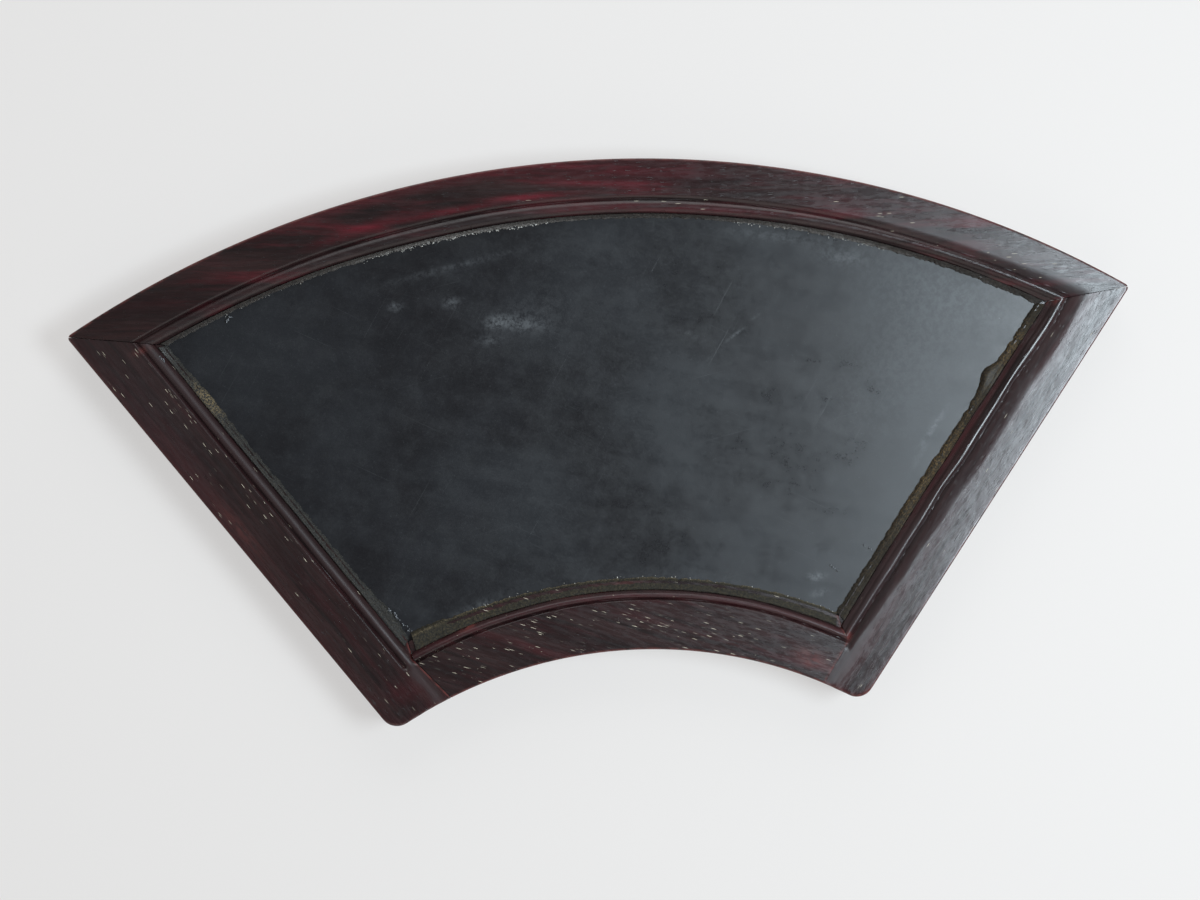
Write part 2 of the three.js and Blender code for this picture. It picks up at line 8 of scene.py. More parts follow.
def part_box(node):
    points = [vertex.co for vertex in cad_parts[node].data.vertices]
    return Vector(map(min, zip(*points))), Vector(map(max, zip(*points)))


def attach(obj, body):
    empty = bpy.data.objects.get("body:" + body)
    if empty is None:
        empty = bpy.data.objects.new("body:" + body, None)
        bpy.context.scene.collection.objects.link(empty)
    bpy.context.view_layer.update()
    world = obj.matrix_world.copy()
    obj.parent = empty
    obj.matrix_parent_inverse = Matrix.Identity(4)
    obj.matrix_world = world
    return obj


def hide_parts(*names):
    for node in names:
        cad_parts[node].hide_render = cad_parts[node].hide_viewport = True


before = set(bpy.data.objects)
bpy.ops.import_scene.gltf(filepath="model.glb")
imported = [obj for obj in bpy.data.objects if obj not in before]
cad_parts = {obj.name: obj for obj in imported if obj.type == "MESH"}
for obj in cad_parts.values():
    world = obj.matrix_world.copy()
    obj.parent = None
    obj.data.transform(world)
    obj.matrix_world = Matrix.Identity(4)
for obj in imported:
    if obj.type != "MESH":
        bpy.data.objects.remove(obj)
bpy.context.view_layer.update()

# Top rail. One curved board of rosewood, its grain level from end to end, moulded along its inner
# edge, rabbeted, mitred to both stiles, slotted for the splines and pocketed behind for the rings.
# Sizes are millimetres, and depths run from FACE_Y in front to 0 at the back.
MM = 0.001
FACE_Y = -18.0
LIP_BACK_Y = -13.4
RABBET = 3.5
ARRIS = 0.8
LIP_DEPTH = 3.3
SEAM = 0.22
FIT = 0.3
TOP_CHORD = 420.0
BOTTOM_CHORD = 186.0
CHORD_GAP = 160.0
TOP_RADIUS = 399.0
BOTTOM_RADIUS = 177.0
TOP_WIDTH = 22.0
SIDE_WIDTH = 26.5
BOTTOM_WIDTH = 27.0
TOP_SIGHT = TOP_RADIUS - TOP_WIDTH
BOTTOM_SIGHT = BOTTOM_RADIUS + BOTTOM_WIDTH
TOP_CORNER_ROUND = 2.0
FOOT_ROUND = 7.0

top_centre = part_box("top_rail")[1].z / MM - TOP_RADIUS
top_corner = Vector((TOP_CHORD / 2, top_centre + sqrt(TOP_RADIUS**2 - (TOP_CHORD / 2) ** 2)))
foot_corner = Vector((BOTTOM_CHORD / 2, top_corner.y - CHORD_GAP))
bottom_centre = foot_corner.y - sqrt(BOTTOM_RADIUS**2 - (BOTTOM_CHORD / 2) ** 2)
down = (foot_corner - top_corner).normalized()
outward = Vector((-down.y, down.x))


def on_side(side, flat):
    """A flat (x, z) point or direction of the right-hand half, put on the left for side -1."""
    return Vector((side * flat[0], flat[1]))


def at(flat, y):
    """The place in metres of a flat (x, z) point at a depth."""
    return Vector((flat[0], y, flat[1])) * MM


def from_top_arc(flat):
    """How far a flat point is outward of the top rail's sight edge."""
    return hypot(flat[0], flat[1] - top_centre) - TOP_SIGHT


def from_bottom_arc(flat):
    """How far a flat point is outward of the bottom rail's sight edge."""
    return BOTTOM_SIGHT - hypot(flat[0], flat[1] - bottom_centre)


def from_side(side, flat):
    """How far a flat point is outward of a stile's sight edge, and how far down the stile it is."""
    away = on_side(side, flat) - top_corner
    return away.dot(outward) + SIDE_WIDTH, away.dot(down)


def meets_arc(start, direction, centre_z, radius):
    """Where a flat line first crosses an arc about (0, centre_z), near its start."""
    away = Vector((start[0], start[1] - centre_z))
    along = away.dot(direction)
    root = sqrt(along**2 - away.length_squared + radius**2)
    reach = min(root - along, -root - along, key=abs)
    return Vector(start) + direction * reach


sight_side = top_corner - outward * SIDE_WIDTH
sight_upper = meets_arc(sight_side, down, top_centre, TOP_SIGHT)
sight_lower = meets_arc(foot_corner - outward * SIDE_WIDTH, down, bottom_centre, BOTTOM_SIGHT)


def to_outline(flat):
    """How far a flat point is inside the panel's outline, whose corners are rounded."""
    top = TOP_WIDTH - from_top_arc(flat)
    bottom = BOTTOM_WIDTH - from_bottom_arc(flat)
    side = SIDE_WIDTH - max(from_side(1, flat)[0], from_side(-1, flat)[0])
    edge, reach = (top, TOP_CORNER_ROUND) if top < bottom else (bottom, FOOT_ROUND)
    if edge < reach and side < reach:
        return reach - hypot(reach - edge, reach - side)
    return min(edge, side)


def pick(piece):
    """Make a piece the only selected one, and the active one."""
    bpy.ops.object.select_all(action="DESELECT")
    piece.select_set(True)
    bpy.context.view_layer.objects.active = piece


def edit(piece):
    """Open a piece in edit mode with everything in it selected."""
    pick(piece)
    bpy.ops.object.mode_set(mode="EDIT")
    bpy.ops.mesh.select_all(action="SELECT")


def tidy(piece):
    """Leave edit mode with normals facing out."""
    bpy.ops.mesh.select_all(action="SELECT")
    bpy.ops.mesh.normals_make_consistent(inside=False)
    bpy.ops.object.mode_set(mode="OBJECT")
    return piece


def drawn(name, places, fill="NOTHING"):
    """A disc or ring whose rim points are dragged to the places of an outline, in metres."""
    bpy.ops.object.select_all(action="DESELECT")
    bpy.ops.mesh.primitive_circle_add(vertices=len(places), radius=MM, fill_type=fill)
    piece = bpy.context.object
    piece.name = piece.data.name = name
    for vertex, place in zip(piece.data.vertices, places):
        vertex.co = place
    return piece


def plate(name, flats, front, back):
    """A flat outline drawn at one depth and extruded to another."""
    piece = drawn(name, [at(flat, front) for flat in flats], "NGON")
    edit(piece)
    bpy.ops.mesh.extrude_region_move(TRANSFORM_OT_translate={"value": (0, (back - front) * MM, 0)})
    return tidy(piece)


def bar(name, middle, along, length, width, front, back):
    """A straight bar about a flat middle point."""
    reach = along.normalized() * length / 2
    across = Vector((-along.y, along.x)).normalized() * width / 2
    corners = [middle + reach + across, middle - reach + across]
    corners += [middle - reach - across, middle + reach - across]
    return plate(name, corners, front, back)


def rod(name, middle, radius, front, back, sides=20):
    """A round rod that stands in the depth, about a flat middle point."""
    turns = [2 * pi * i / sides for i in range(sides)]
    flats = [middle + Vector((cos(turn), sin(turn))) * radius for turn in turns]
    return plate(name, flats, front, back)


def carve(piece, tools, operation="DIFFERENCE"):
    """Cut tools that stand apart out of a piece, or join them to it, and take the tools away."""
    pick(tools[0])
    for tool in tools:
        tool.select_set(True)
    bpy.ops.object.join()
    pick(piece)
    modifier = piece.modifiers.new("carve", "BOOLEAN")
    modifier.operation = operation
    modifier.solver = "MANIFOLD"
    modifier.object = tools[0]
    bpy.ops.object.modifier_apply(modifier=modifier.name)
    bpy.data.objects.remove(tools[0])


def saw(piece, flat, direction):
    """Saw a piece off along a flat line, and drop what lies to the left of the line's direction."""
    edit(piece)
    normal = (-direction[1], 0, direction[0])
    bpy.ops.mesh.bisect(
        plane_co=at(flat, 0), plane_no=normal, use_fill=True, clear_outer=True, clear_inner=False
    )
    return tidy(piece)


def member_section(width):
    """The rim of a moulded member's section, as pairs of distance outward of sight and depth."""
    flat = [(0.25 * i, FACE_Y) for i in range(int((width - ARRIS) / 0.25) + 1)]
    arris = [(width - ARRIS + ARRIS * sin(turn * pi / 12), FACE_Y) for turn in range(1, 7)]
    side = [(width, FACE_Y + ARRIS), (width, FACE_Y / 2), (width, -0.5), (width - 0.5, 0)]
    behind = [(width / 2, 0), (RABBET + 0.5, 0), (RABBET, -0.5), (RABBET, LIP_BACK_Y)]
    lip = [(0, LIP_BACK_Y), (0, LIP_BACK_Y - 0.6)]
    return flat + arris + side + behind + lip


def along_arc(name, section, centre, sight, turn_out, reach, steps):
    """A section swept along an arc, to an angle on both sides of its middle."""
    start = Vector((sin(-reach), cos(-reach)))
    origin = Vector((0, centre))
    piece = drawn(name, [at(origin + start * (sight + turn_out * v), y) for v, y in section])
    edit(piece)
    bpy.ops.mesh.spin(
        steps=steps, angle=-2 * reach, center=at((0, centre), 0), axis=(0, 1, 0), dupli=False
    )
    return tidy(piece)


def between(share, values):
    """A value taken smoothly from a few that are spaced evenly along a run from 0 to 1."""
    step = min(max(share, 0), 0.9999) * (len(values) - 1)
    first = int(step)
    part = (1 - cos((step - first) * pi)) / 2
    return values[first] * (1 - part) + values[first + 1] * part


def moulding(v, lip, slope, bead, cove, foot):
    """Depth of the moulding below the flat: a lip under the putty, a slope, a bead and a cove."""
    if v < lip:
        return LIP_DEPTH
    if v < lip + slope:
        return foot + 0.9 * (1 - (v - lip) / slope)
    v -= lip + slope
    if v < bead:
        return foot - (foot - 0.12) * sin(pi * v / bead) ** 0.8
    return foot * max(0, 1 - (v - bead) / cove) ** 1.7


def wander(s, seed, reach, length):
    """A slow hand-made drift along a run."""
    return reach * noise.noise(Vector((s / length, seed, 0.37 * seed)))


def shape_face(piece, depth_at):
    """Plane, mould and wear the face: each face point is set to its own depth."""
    for vertex in piece.data.vertices:
        place = vertex.co / MM
        if place.y > FACE_Y + 0.1:
            continue
        flat = Vector((place.x, place.z))
        inside = to_outline(flat)
        rounding = 0.0
        if inside < ARRIS:
            rounding = ARRIS - sqrt(max(ARRIS**2 - (ARRIS - max(inside, 0)) ** 2, 0))
        hand = 0.05 * noise.noise(Vector((flat.x / 11, flat.y / 11, 3)))
        hand += 0.02 * noise.noise(Vector((flat.x / 3, flat.y / 3, 9)))
        vertex.co.y = (FACE_Y + max(depth_at(flat) + 0.03 + hand, rounding)) * MM


def near(distance, reach):
    """1 at no distance, falling off evenly to 0 at a reach."""
    return max(0, 1 - distance / reach)


def share_of(value, whole):
    """A value as a share of a whole, from 0 to 1."""
    return min(max(value / whole, 0), 1)


def spot(flat, centre, along, across, turn=0.0):
    """A soft elliptical spot: 1 at its centre, falling off to nothing; turn is in degrees."""
    dx, dz = flat[0] - centre[0], flat[1] - centre[1]
    angle = radians(turn)
    s = (dx * cos(angle) + dz * sin(angle)) / along
    t = (dz * cos(angle) - dx * sin(angle)) / across
    return 2.718 ** -(s * s + t * t)


def spots(flat, *rows):
    """Soft spots added up; each is a share, a centre, a length, a width and a turn."""
    return sum(share * spot(flat, *row) for share, *row in rows)


def paint(piece, marks):
    """Vertex paint: what marks gives at each vertex for worn, dusty, red, and dull with its painted
    sheen.
    """
    layer = piece.data.color_attributes.new("marks", "FLOAT_COLOR", "POINT")
    for vertex, painted in zip(piece.data.vertices, layer.data):
        place = vertex.co / MM
        shares = marks(Vector((place.x, place.z)))
        if place.y > FACE_Y + 5.5:
            shares = [0.15 * share for share in shares]
        painted.color = shares


def smooth(piece, degrees=35):
    """Shade a piece smooth, but for its sharp edges."""
    pick(piece)
    bpy.ops.object.shade_smooth_by_angle(angle=radians(degrees))
    return piece


def put(tree, kind, **settings):
    """A node with its properties (lower case) and sockets (upper case) set or linked by name."""
    node = tree.nodes.new("ShaderNode" + kind)
    for key, value in settings.items():
        if key[0].islower():
            setattr(node, key, value)
            continue
        socket = node.inputs[key.replace("_", " ")]
        if isinstance(value, bpy.types.NodeSocket):
            tree.links.new(value, socket)
        else:
            socket.default_value = value
    return node


def feed(tree, sockets, values):
    """Set or link sockets in their order."""
    for socket, value in zip(sockets, values):
        if isinstance(value, bpy.types.NodeSocket):
            tree.links.new(value, socket)
        else:
            socket.default_value = value


def maths(tree, operation, *values, clamp=False):
    """One step of arithmetic on numbers or sockets."""
    node = put(tree, "Math", operation=operation, use_clamp=clamp)
    feed(tree, node.inputs, values)
    return node.outputs[0]


def blend(tree, factor, low, high, how="MIX"):
    """One colour laid over another by a factor."""
    low, high = [(*tone, 1) if isinstance(tone, tuple) else tone for tone in (low, high)]
    node = put(tree, "Mix", data_type="RGBA", blend_type=how)
    feed(tree, (node.inputs[0], node.inputs[6], node.inputs[7]), (factor, low, high))
    return node.outputs[2]


def step_up(tree, value, low, high, start=0.0, end=1.0):
    """A smooth step from start to end as a value goes from low to high."""
    node = put(tree, "MapRange", interpolation_type="SMOOTHSTEP", Value=value)
    feed(tree, node.inputs[1:5], (low, high, start, end))
    return node.outputs[0]


def stretched(tree, vector, along, across):
    """A place scaled along the grain and across it."""
    node = put(tree, "VectorMath", operation="MULTIPLY")
    feed(tree, node.inputs, (vector, (along, across, across)))
    return node.outputs[0]


def cloudy(tree, vector, scale, detail=3.0, rough=0.5):
    """Noise at so many cycles a millimetre."""
    node = put(tree, "TexNoise", Vector=vector, Scale=scale, Detail=detail, Roughness=rough)
    return node.outputs[0]


def grain_noise(tree, vector, along, across, detail=3.0, rough=0.55):
    """Noise drawn out along the grain, at so many cycles a millimetre along and across."""
    return cloudy(tree, stretched(tree, vector, along, across), 1.0, detail, rough)


def new_material(name):
    """A material with nothing in its tree but the shader."""
    material = bpy.data.materials.new(name)
    material.use_nodes = True
    tree = material.node_tree
    shader = tree.nodes["Principled BSDF"]
    return material, tree, shader


def join_up(tree, shader, colour, roughness, height, strength, distance, metallic=0.0):
    """Give a shader its colour, gloss and relief; the distance is in metres."""
    bump = put(tree, "Bump", Strength=strength, Distance=distance, Height=height)
    sockets = [shader.inputs[key] for key in ("Base Color", "Roughness", "Metallic", "Normal")]
    feed(tree, sockets, (colour, roughness, metallic, bump.outputs[0]))


def grain_place(tree, angle):
    """Object coordinates in millimetres, turned so that X runs along a grain at this angle."""
    place = put(tree, "TexCoord").outputs["Object"]
    turned = put(
        tree, "Mapping", Vector=place, Scale=(1 / MM,) * 3, Rotation=(0, radians(angle), 0)
    )
    return turned.outputs[0]


def painted(tree):
    """The vertex-painted worn, dusty, red and dull amounts; dull also carries a painted sheen."""
    layer = put(tree, "Attribute", attribute_name="marks")
    parts = put(tree, "SeparateColor", Color=layer.outputs["Color"])
    return *parts.outputs, layer.outputs["Alpha"]


def figured_wood(tree, place, red_share, red_from, red):
    """The wood's own colour: figure, darker bands, and crimson streaks along the grain."""
    drawn_out = stretched(tree, place, 0.02, 0.05)
    sway = put(tree, "TexNoise", Vector=drawn_out, Scale=1.0, Detail=2.0).outputs["Color"]
    swayed = put(tree, "VectorMath", operation="MULTIPLY_ADD")
    feed(tree, swayed.inputs, (sway, (0.0, 0.0, 5.0), place))
    swayed = swayed.outputs[0]
    figure = step_up(tree, grain_noise(tree, swayed, 0.015, 0.12, 3.0), 0.35, 0.65)
    colour = blend(tree, figure, (0.0125, 0.0050, 0.0055), (0.0270, 0.0125, 0.0125))
    bands = step_up(tree, grain_noise(tree, swayed, 0.012, 0.55, 4.0), 0.40, 0.72, 0.0, 0.8)
    colour = blend(tree, bands, colour, (0.0075, 0.0050, 0.0052))
    streaks = step_up(tree, grain_noise(tree, swayed, 0.017, 0.20, 4.0, 0.6), 0.46, 0.76)
    along = put(tree, "SeparateXYZ", Vector=place).outputs[0]
    redness = maths(tree, "MULTIPLY", streaks, red_share)
    redness = maths(tree, "MULTIPLY", redness, step_up(tree, along, red_from, red_from + 55.0, 0.1))
    redness = maths(tree, "ADD", redness, red, clamp=True)
    return blend(tree, redness, colour, (0.098, 0.0085, 0.0150))


def pores(tree, place, dusty):
    """How open each long pore is, and how much pale dust lies in it."""
    long_cells = stretched(tree, place, 0.21, 3.0)
    cells = put(tree, "TexVoronoi", Vector=long_cells, Scale=1.0, Randomness=1.0)
    luck = put(tree, "SeparateColor", Color=cells.outputs["Color"])
    pore = step_up(tree, cells.outputs["Distance"], 0.30, 0.16)
    open_pore = maths(tree, "MULTIPLY", pore, step_up(tree, luck.outputs[0], 0.45, 0.75))
    clusters = grain_noise(tree, place, 0.09, 0.22, 3.0, 0.5)
    chance = maths(tree, "MULTIPLY", dusty, step_up(tree, clusters, 0.42, 0.62, 0.03, 0.42))
    dust = maths(tree, "MULTIPLY", pore, maths(tree, "GREATER_THAN", chance, luck.outputs[1]))
    dust = maths(tree, "MULTIPLY", dust, step_up(tree, luck.outputs[2], 0.25, 0.9, 0.10, 1.0))
    return open_pore, dust


def rosewood(name, angle, red_share, seed, polish=0.20, red_from=-999.0):
    """Dark oiled rosewood: figure, crimson streaks, open pores, dust in them, rubbed places and
    painted sheen.
    """
    material, tree, shader = new_material(name)
    shift = put(tree, "VectorMath", operation="ADD")
    feed(tree, shift.inputs, (grain_place(tree, angle), (seed * 37.0, seed * 5.0, seed * 11.0)))
    place = shift.outputs[0]
    worn, dusty, red, dull_and_sheen = painted(tree)

    colour = figured_wood(tree, place, red_share, red_from, red)
    fibres = grain_noise(tree, place, 0.12, 5.0, 2.0)
    fibre_tones = blend(tree, fibres, (0.15, 0.15, 0.15), (1.85, 1.8, 1.8))
    colour = blend(tree, 0.6, colour, fibre_tones, "MULTIPLY")
    open_pore, dust = pores(tree, place, dusty)
    colour = blend(tree, maths(tree, "MULTIPLY", open_pore, 0.7), colour, (0.003, 0.002, 0.002))
    colour = blend(tree, dust, colour, (0.68, 0.61, 0.47))
    # Painted sheen: where the dull share is painted, the colour is lightened to a soft purple-grey,
    # standing in for a soft highlight on the beads and coves.
    colour = blend(tree, maths(tree, "MULTIPLY", dull_and_sheen, 0.45), colour, (0.038, 0.019, 0.021))
    rub = step_up(tree, grain_noise(tree, place, 0.25, 0.6, 4.0), 0.30, 0.60)
    colour = blend(tree, maths(tree, "MULTIPLY", worn, rub), colour, (0.185, 0.048, 0.042))

    satin = grain_noise(tree, place, 0.16, 0.9, 5.0, 0.65)
    roughness = step_up(tree, satin, 0.3, 0.7, polish, polish + 0.14)
    roughness = maths(tree, "MULTIPLY_ADD", dust, 0.4, roughness)
    roughness = maths(tree, "MULTIPLY_ADD", dull_and_sheen, 0.26, roughness, clamp=True)

    ripple = grain_noise(tree, place, 0.35, 1.1, 4.0, 0.6)
    height = maths(tree, "MULTIPLY_ADD", fibres, 0.22, maths(tree, "MULTIPLY", ripple, 0.4))
    height = maths(tree, "MULTIPLY_ADD", open_pore, -0.35, height)
    join_up(tree, shader, colour, roughness, height, 0.5, 0.00012)
    return material


def dress(piece, material, slot, body, *nodes):
    """Give a piece its finish and its body, and put it in the place of its CAD nodes."""
    piece.data.materials.clear()
    piece.data.materials.append(material)
    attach(piece, body)
    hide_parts(*nodes)


def flat_middle(node):
    """The flat middle point of a CAD piece's box."""
    low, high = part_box(node)
    return Vector((low.x + high.x, low.z + high.z)) / 2 / MM


SPLINE_MIDDLE = flat_middle("right_mitre_spline")
RAIL_PEG = flat_middle("right_rail_peg")
PEG_BORE = 1.65
PEG_DEPTH = 13.0
TENON_Y = (-10.6, -5.6)
SLOT_Y = (TENON_Y[0] - FIT, TENON_Y[1] + FIT)
SLOT_LENGTH = 16.6
SLOT_WIDTH = 10.6
THROUGH_Y = (-22.0, 4.0)
PAST_BACK_Y = 2.0
HANGER_X = 60.0
POCKET_TOP = 1.239
POCKET_WIDTH = 12.9
POCKET_LENGTH = 30.0
POCKET_FLOOR_Y = -4.4
PIVOT = (-3.15, -10.411)
STAPLE_ARCH = 1.9
LEG_HOLE_RADIUS = 0.75
LEG_HOLE_END_Y = -10.7


def corner_chip(side):
    """What a top corner is rounded by: all that lies outside its small round."""
    middle = meets_arc(
        top_corner - outward * TOP_CORNER_ROUND, down, top_centre, TOP_RADIUS - TOP_CORNER_ROUND
    )
    up = (middle - Vector((0, top_centre))).normalized()
    turn = up.angle(outward)
    ways = [up * sin(turn * (1 - i / 10)) + outward * sin(turn * i / 10) for i in range(11)]
    round_end = [middle + way / sin(turn) * TOP_CORNER_ROUND for way in ways]
    past = [middle + outward * 9, middle + (up + outward).normalized() * 15, middle + up * 9]
    return plate("corner_chip", [on_side(side, mark) for mark in round_end + past], *THROUGH_Y)


def spline_slot(side):
    """The slot for a spline, across a top mitre."""
    across = on_side(side, across_mitre)
    return bar("slot", on_side(side, SPLINE_MIDDLE), across, SLOT_LENGTH, SLOT_WIDTH, *SLOT_Y)


def peg_bore(side, flat):
    """The bore for a peg, which is driven from the back."""
    return rod("bore", on_side(side, flat), PEG_BORE, -PEG_DEPTH - FIT, PAST_BACK_Y)


mitre = (top_corner - sight_upper).normalized()
across_mitre = Vector((-mitre.y, mitre.x))
reach = asin((top_corner.x + 3) / TOP_RADIUS)
top_rail = along_arc(
    "rosewood_top_rail", member_section(TOP_WIDTH), top_centre, TOP_SIGHT, 1, reach, 430
)
for side in (-1, 1):
    past_mitre = on_side(side, sight_upper) + Vector((0, SEAM / 2))
    saw(top_rail, past_mitre, on_side(side, mitre) * -side)
wide_cuts = []
thin_cuts = []
for side in (-1, 1):
    pocket_at = Vector((side * HANGER_X, POCKET_TOP - POCKET_LENGTH / 2))
    pocket = (POCKET_WIDTH, POCKET_LENGTH, POCKET_FLOOR_Y, PAST_BACK_Y)
    wide_cuts += [corner_chip(side), spline_slot(side)]
    wide_cuts.append(bar("pocket", pocket_at, Vector((1, 0)), *pocket))
    thin_cuts.append(peg_bore(side, RAIL_PEG))
    for leg_z in (PIVOT[1] + STAPLE_ARCH, PIVOT[1] - STAPLE_ARCH):
        leg_at = Vector((side * HANGER_X, leg_z))
        thin_cuts.append(rod("leg_hole", leg_at, LEG_HOLE_RADIUS, LEG_HOLE_END_Y, 0))
carve(top_rail, wide_cuts)
carve(top_rail, thin_cuts)


def top_lip(flat):
    """Where the bead starts on the top rail, outward of the sight edge."""
    share = (flat[0] + TOP_CHORD / 2) / TOP_CHORD
    return between(share, (1.4, 0.8, 0.6, 0.6, 0.6, 0.9, 1.6)) + wander(flat[0], 1, 0.25, 40)


def top_depth(flat):
    share = (flat[0] + TOP_CHORD / 2) / TOP_CHORD
    slope = between(share, (0.8, 0.4, 0.2, 0.2, 0.4, 1.0, 2.0))
    bead = between(share, (3.8, 4.6, 5.2, 5.2, 5.0, 4.4, 4.2))
    cove = between(share, (1.4, 1.6, 1.8, 1.8, 2.4, 3.6, 5.6))
    return moulding(from_top_arc(flat), top_lip(flat), slope, bead, cove, 1.45)


def top_marks(flat):
    v = from_top_arc(flat)
    edge = to_outline(flat)
    worn = 0.75 * near(edge, 1.1) + 0.7 * spot(flat, (164.5, -55.0), 3.0, 1.6, -10)
    red = spots(
        flat, (0.9, (-31, -4.4), 12, 1.0, 2), (0.55, (-62, -9.0), 26, 1.3, 8),
        (0.5, (5, -0.5), 22, 1.8, -3), (0.4, (-95, -14), 20, 2, 17),
        (0.35, (20, 2.5), 30, 1.5, -4), (0.25, (-150, -30), 14, 5, 10),
    )
    red += 0.45 * near(edge, 5) * spot(flat, (-70, -10), 110, 60)
    red -= spots(flat, (1.0, (-190, -45), 42, 16, 25), (0.35, (150, -30), 55, 20, -20))
    dusty = spots(
        flat, (0.4, (35, -9.5), 22, 2.5, -6), (0.25, (155, -33), 30, 4, -24),
        (0.4, (118, -22), 18, 3, -18), (0.6, (-28, -6.5), 3, 1.2),
    )
    # The dull share: a rougher finish and a painted sheen, on the bead at the left and the cove at
    # the right.
    dull_and_sheen = 0.3 * near(abs(v - 4), 3.0) * near(max(flat.x + 20, 0), 90)
    dull_and_sheen += 0.5 * near(abs(v - 9.5), 4.5) * share_of(flat.x - 70, 70)
    return min(worn, 1), min(dusty, 1), min(red, 1), dull_and_sheen


shape_face(top_rail, top_depth)
paint(top_rail, top_marks)
red_wood = rosewood("red_rosewood", -1.5, 0.6, 1, red_from=-145.0)
dress(smooth(top_rail), red_wood, "red_rosewood", "panel", "top_rail")

# Stiles. Two straight boards of the same wood with the grain running down them, mitred to the top
# rail. Each runs through to the foot, where the bottom rail is tenoned into it, and its foot is cut
# to the lower arc with a rounded corner. The right one has a wider cove beside its bead.
FOOT_SEAMS = {-1: 0.34, 1: 0.12}
STILE_PEG = flat_middle("right_stile_peg")
TENON_PEG = flat_middle("right_tenon_peg")
TENON_LENGTH = 12.0
TENON_WIDTH = 10.0
SHOULDER_ANGLE = 48.0
SIDE_LENGTH = 198.0
TENON_AT = Vector((82.02, -192.03))
SEAM_MARKS = {
    -1: [(-85.2, -177.5), (-83.9, -182.5), (-74.2, -193.5)],
    1: [(86.0, -178.0), (88.3, -186.2), (82.9, -194.4)],
}

shoulder = Vector((-cos(radians(SHOULDER_ANGLE)), -sin(radians(SHOULDER_ANGLE))))
into_stile = Vector((-shoulder.y, shoulder.x))
foot_middle = meets_arc(
    foot_corner - outward * FOOT_ROUND, down, bottom_centre, BOTTOM_RADIUS + FOOT_ROUND
)


def seam_path(side, shift):
    """The joint line of the bottom rail and a stile, from inside the sight edge to outside."""
    marks = [Vector(mark) for mark in SEAM_MARKS[side]]
    first = on_side(side, sight_lower) - (marks[0] - on_side(side, sight_lower)).normalized() * 6
    last = marks[-1] + (marks[-1] - marks[-2]).normalized() * 30
    return [mark + Vector((side * shift, 0)) for mark in (first, *marks, last)]


def by_seam(side, flat, reach):
    """1 on the joint line of a foot, falling off to 0 at a distance from it."""
    path = seam_path(side, 0)
    nearest = reach
    for first, last in zip(path, path[1:]):
        run = last - first
        along = share_of((flat - first).dot(run), run.length_squared)
        nearest = min(nearest, (flat - first - run * along).length)
    return 1 - nearest / reach


def foot_cutter(side):
    """What the foot of a stile is cut away by: all below the lower arc and its rounded corner."""
    arc = [asin(x / BOTTOM_RADIUS) for x in (45 + 0.5 * i for i in range(70))]
    lower = [Vector((0, bottom_centre)) + Vector((sin(a), cos(a))) * BOTTOM_RADIUS for a in arc]
    inward = (Vector((0, bottom_centre)) - foot_middle).normalized()
    lower = [mark for mark in lower if mark.x < (foot_middle + inward * FOOT_ROUND).x - 0.3]
    turn = inward.angle(outward)
    round_end = []
    for i in range(15):
        part = turn * i / 14
        way = inward * cos(part) + Vector((-inward.y, inward.x)) * sin(part)
        round_end.append(foot_middle + way * FOOT_ROUND)
    end = round_end[-1]
    past = [end + outward * 12, end + outward * 12 + Vector((0, -60)), Vector((45, -270))]
    marks = [on_side(side, mark) for mark in lower + round_end + past]
    return plate("foot_cutter", marks, *THROUGH_Y)


def along_side(name, section, side, origin, step, steps):
    """A section drawn out down a stile in even steps."""
    out = on_side(side, outward)
    piece = drawn(name, [at(origin + out * v, y) for v, y in section])
    edit(piece)
    bpy.ops.mesh.extrude_repeat(steps=steps, offset=at(on_side(side, down) * step, 0))
    return tidy(piece)


def stile_blank(side, name):
    """A moulded length along the side, mitred at the top, its foot cut to the arc and the rail."""
    way, out = on_side(side, down), on_side(side, outward)
    origin = on_side(side, sight_side - down * 6)
    piece = along_side(name, member_section(SIDE_WIDTH), side, origin, 0.85, 272)
    saw(piece, on_side(side, sight_upper) - Vector((0, SEAM / 2)), on_side(side, mitre) * side)
    saw(piece, on_side(side, foot_corner + down * 22), out * -side)
    path = seam_path(side, FOOT_SEAMS[side] / 2)
    rail_place = plate("rail_place", path + [Vector((0, -260)), Vector((0, -150))], *THROUGH_Y)
    stop = meets_arc(sight_lower + outward * RABBET, down, bottom_centre, BOTTOM_SIGHT - RABBET)
    stop = on_side(side, stop) + way * 15.3 + out * 0.5
    carve(piece, [bar("rabbet_stop", stop, way, 30, 9, LIP_BACK_Y - 0.5, -0.02)], "UNION")
    carve(piece, [foot_cutter(side), corner_chip(side)])
    carve(piece, [rail_place, spline_slot(side)])
    into = on_side(side, into_stile)
    middle = on_side(side, TENON_AT) + into * 4
    size = (2 * TENON_LENGTH - 7 + 2 * FIT, TENON_WIDTH + 2 * FIT)
    carve(piece, [bar("mortise", middle, into, *size, *SLOT_Y), peg_bore(side, STILE_PEG)])
    carve(piece, [peg_bore(side, TENON_PEG)])
    return piece


def from_left(flat):
    """How far a flat point is outward of the left stile's sight edge."""
    return from_side(-1, flat)[0]


def from_right(flat):
    """How far a flat point is outward of the right stile's sight edge."""
    return from_side(1, flat)[0]


def left_lip(flat):
    """Where the bead starts on the left stile, outward of the sight edge."""
    return 2.3 + wander(from_side(-1, flat)[1], 2, 0.3, 35)


def left_depth(flat):
    """The left moulding, which runs out into the flat of the foot."""
    depth = moulding(from_left(flat), left_lip(flat), 0.7, 4.0, 1.3, 1.4)
    return depth * share_of(9.5 - from_bottom_arc(flat), 1.6)


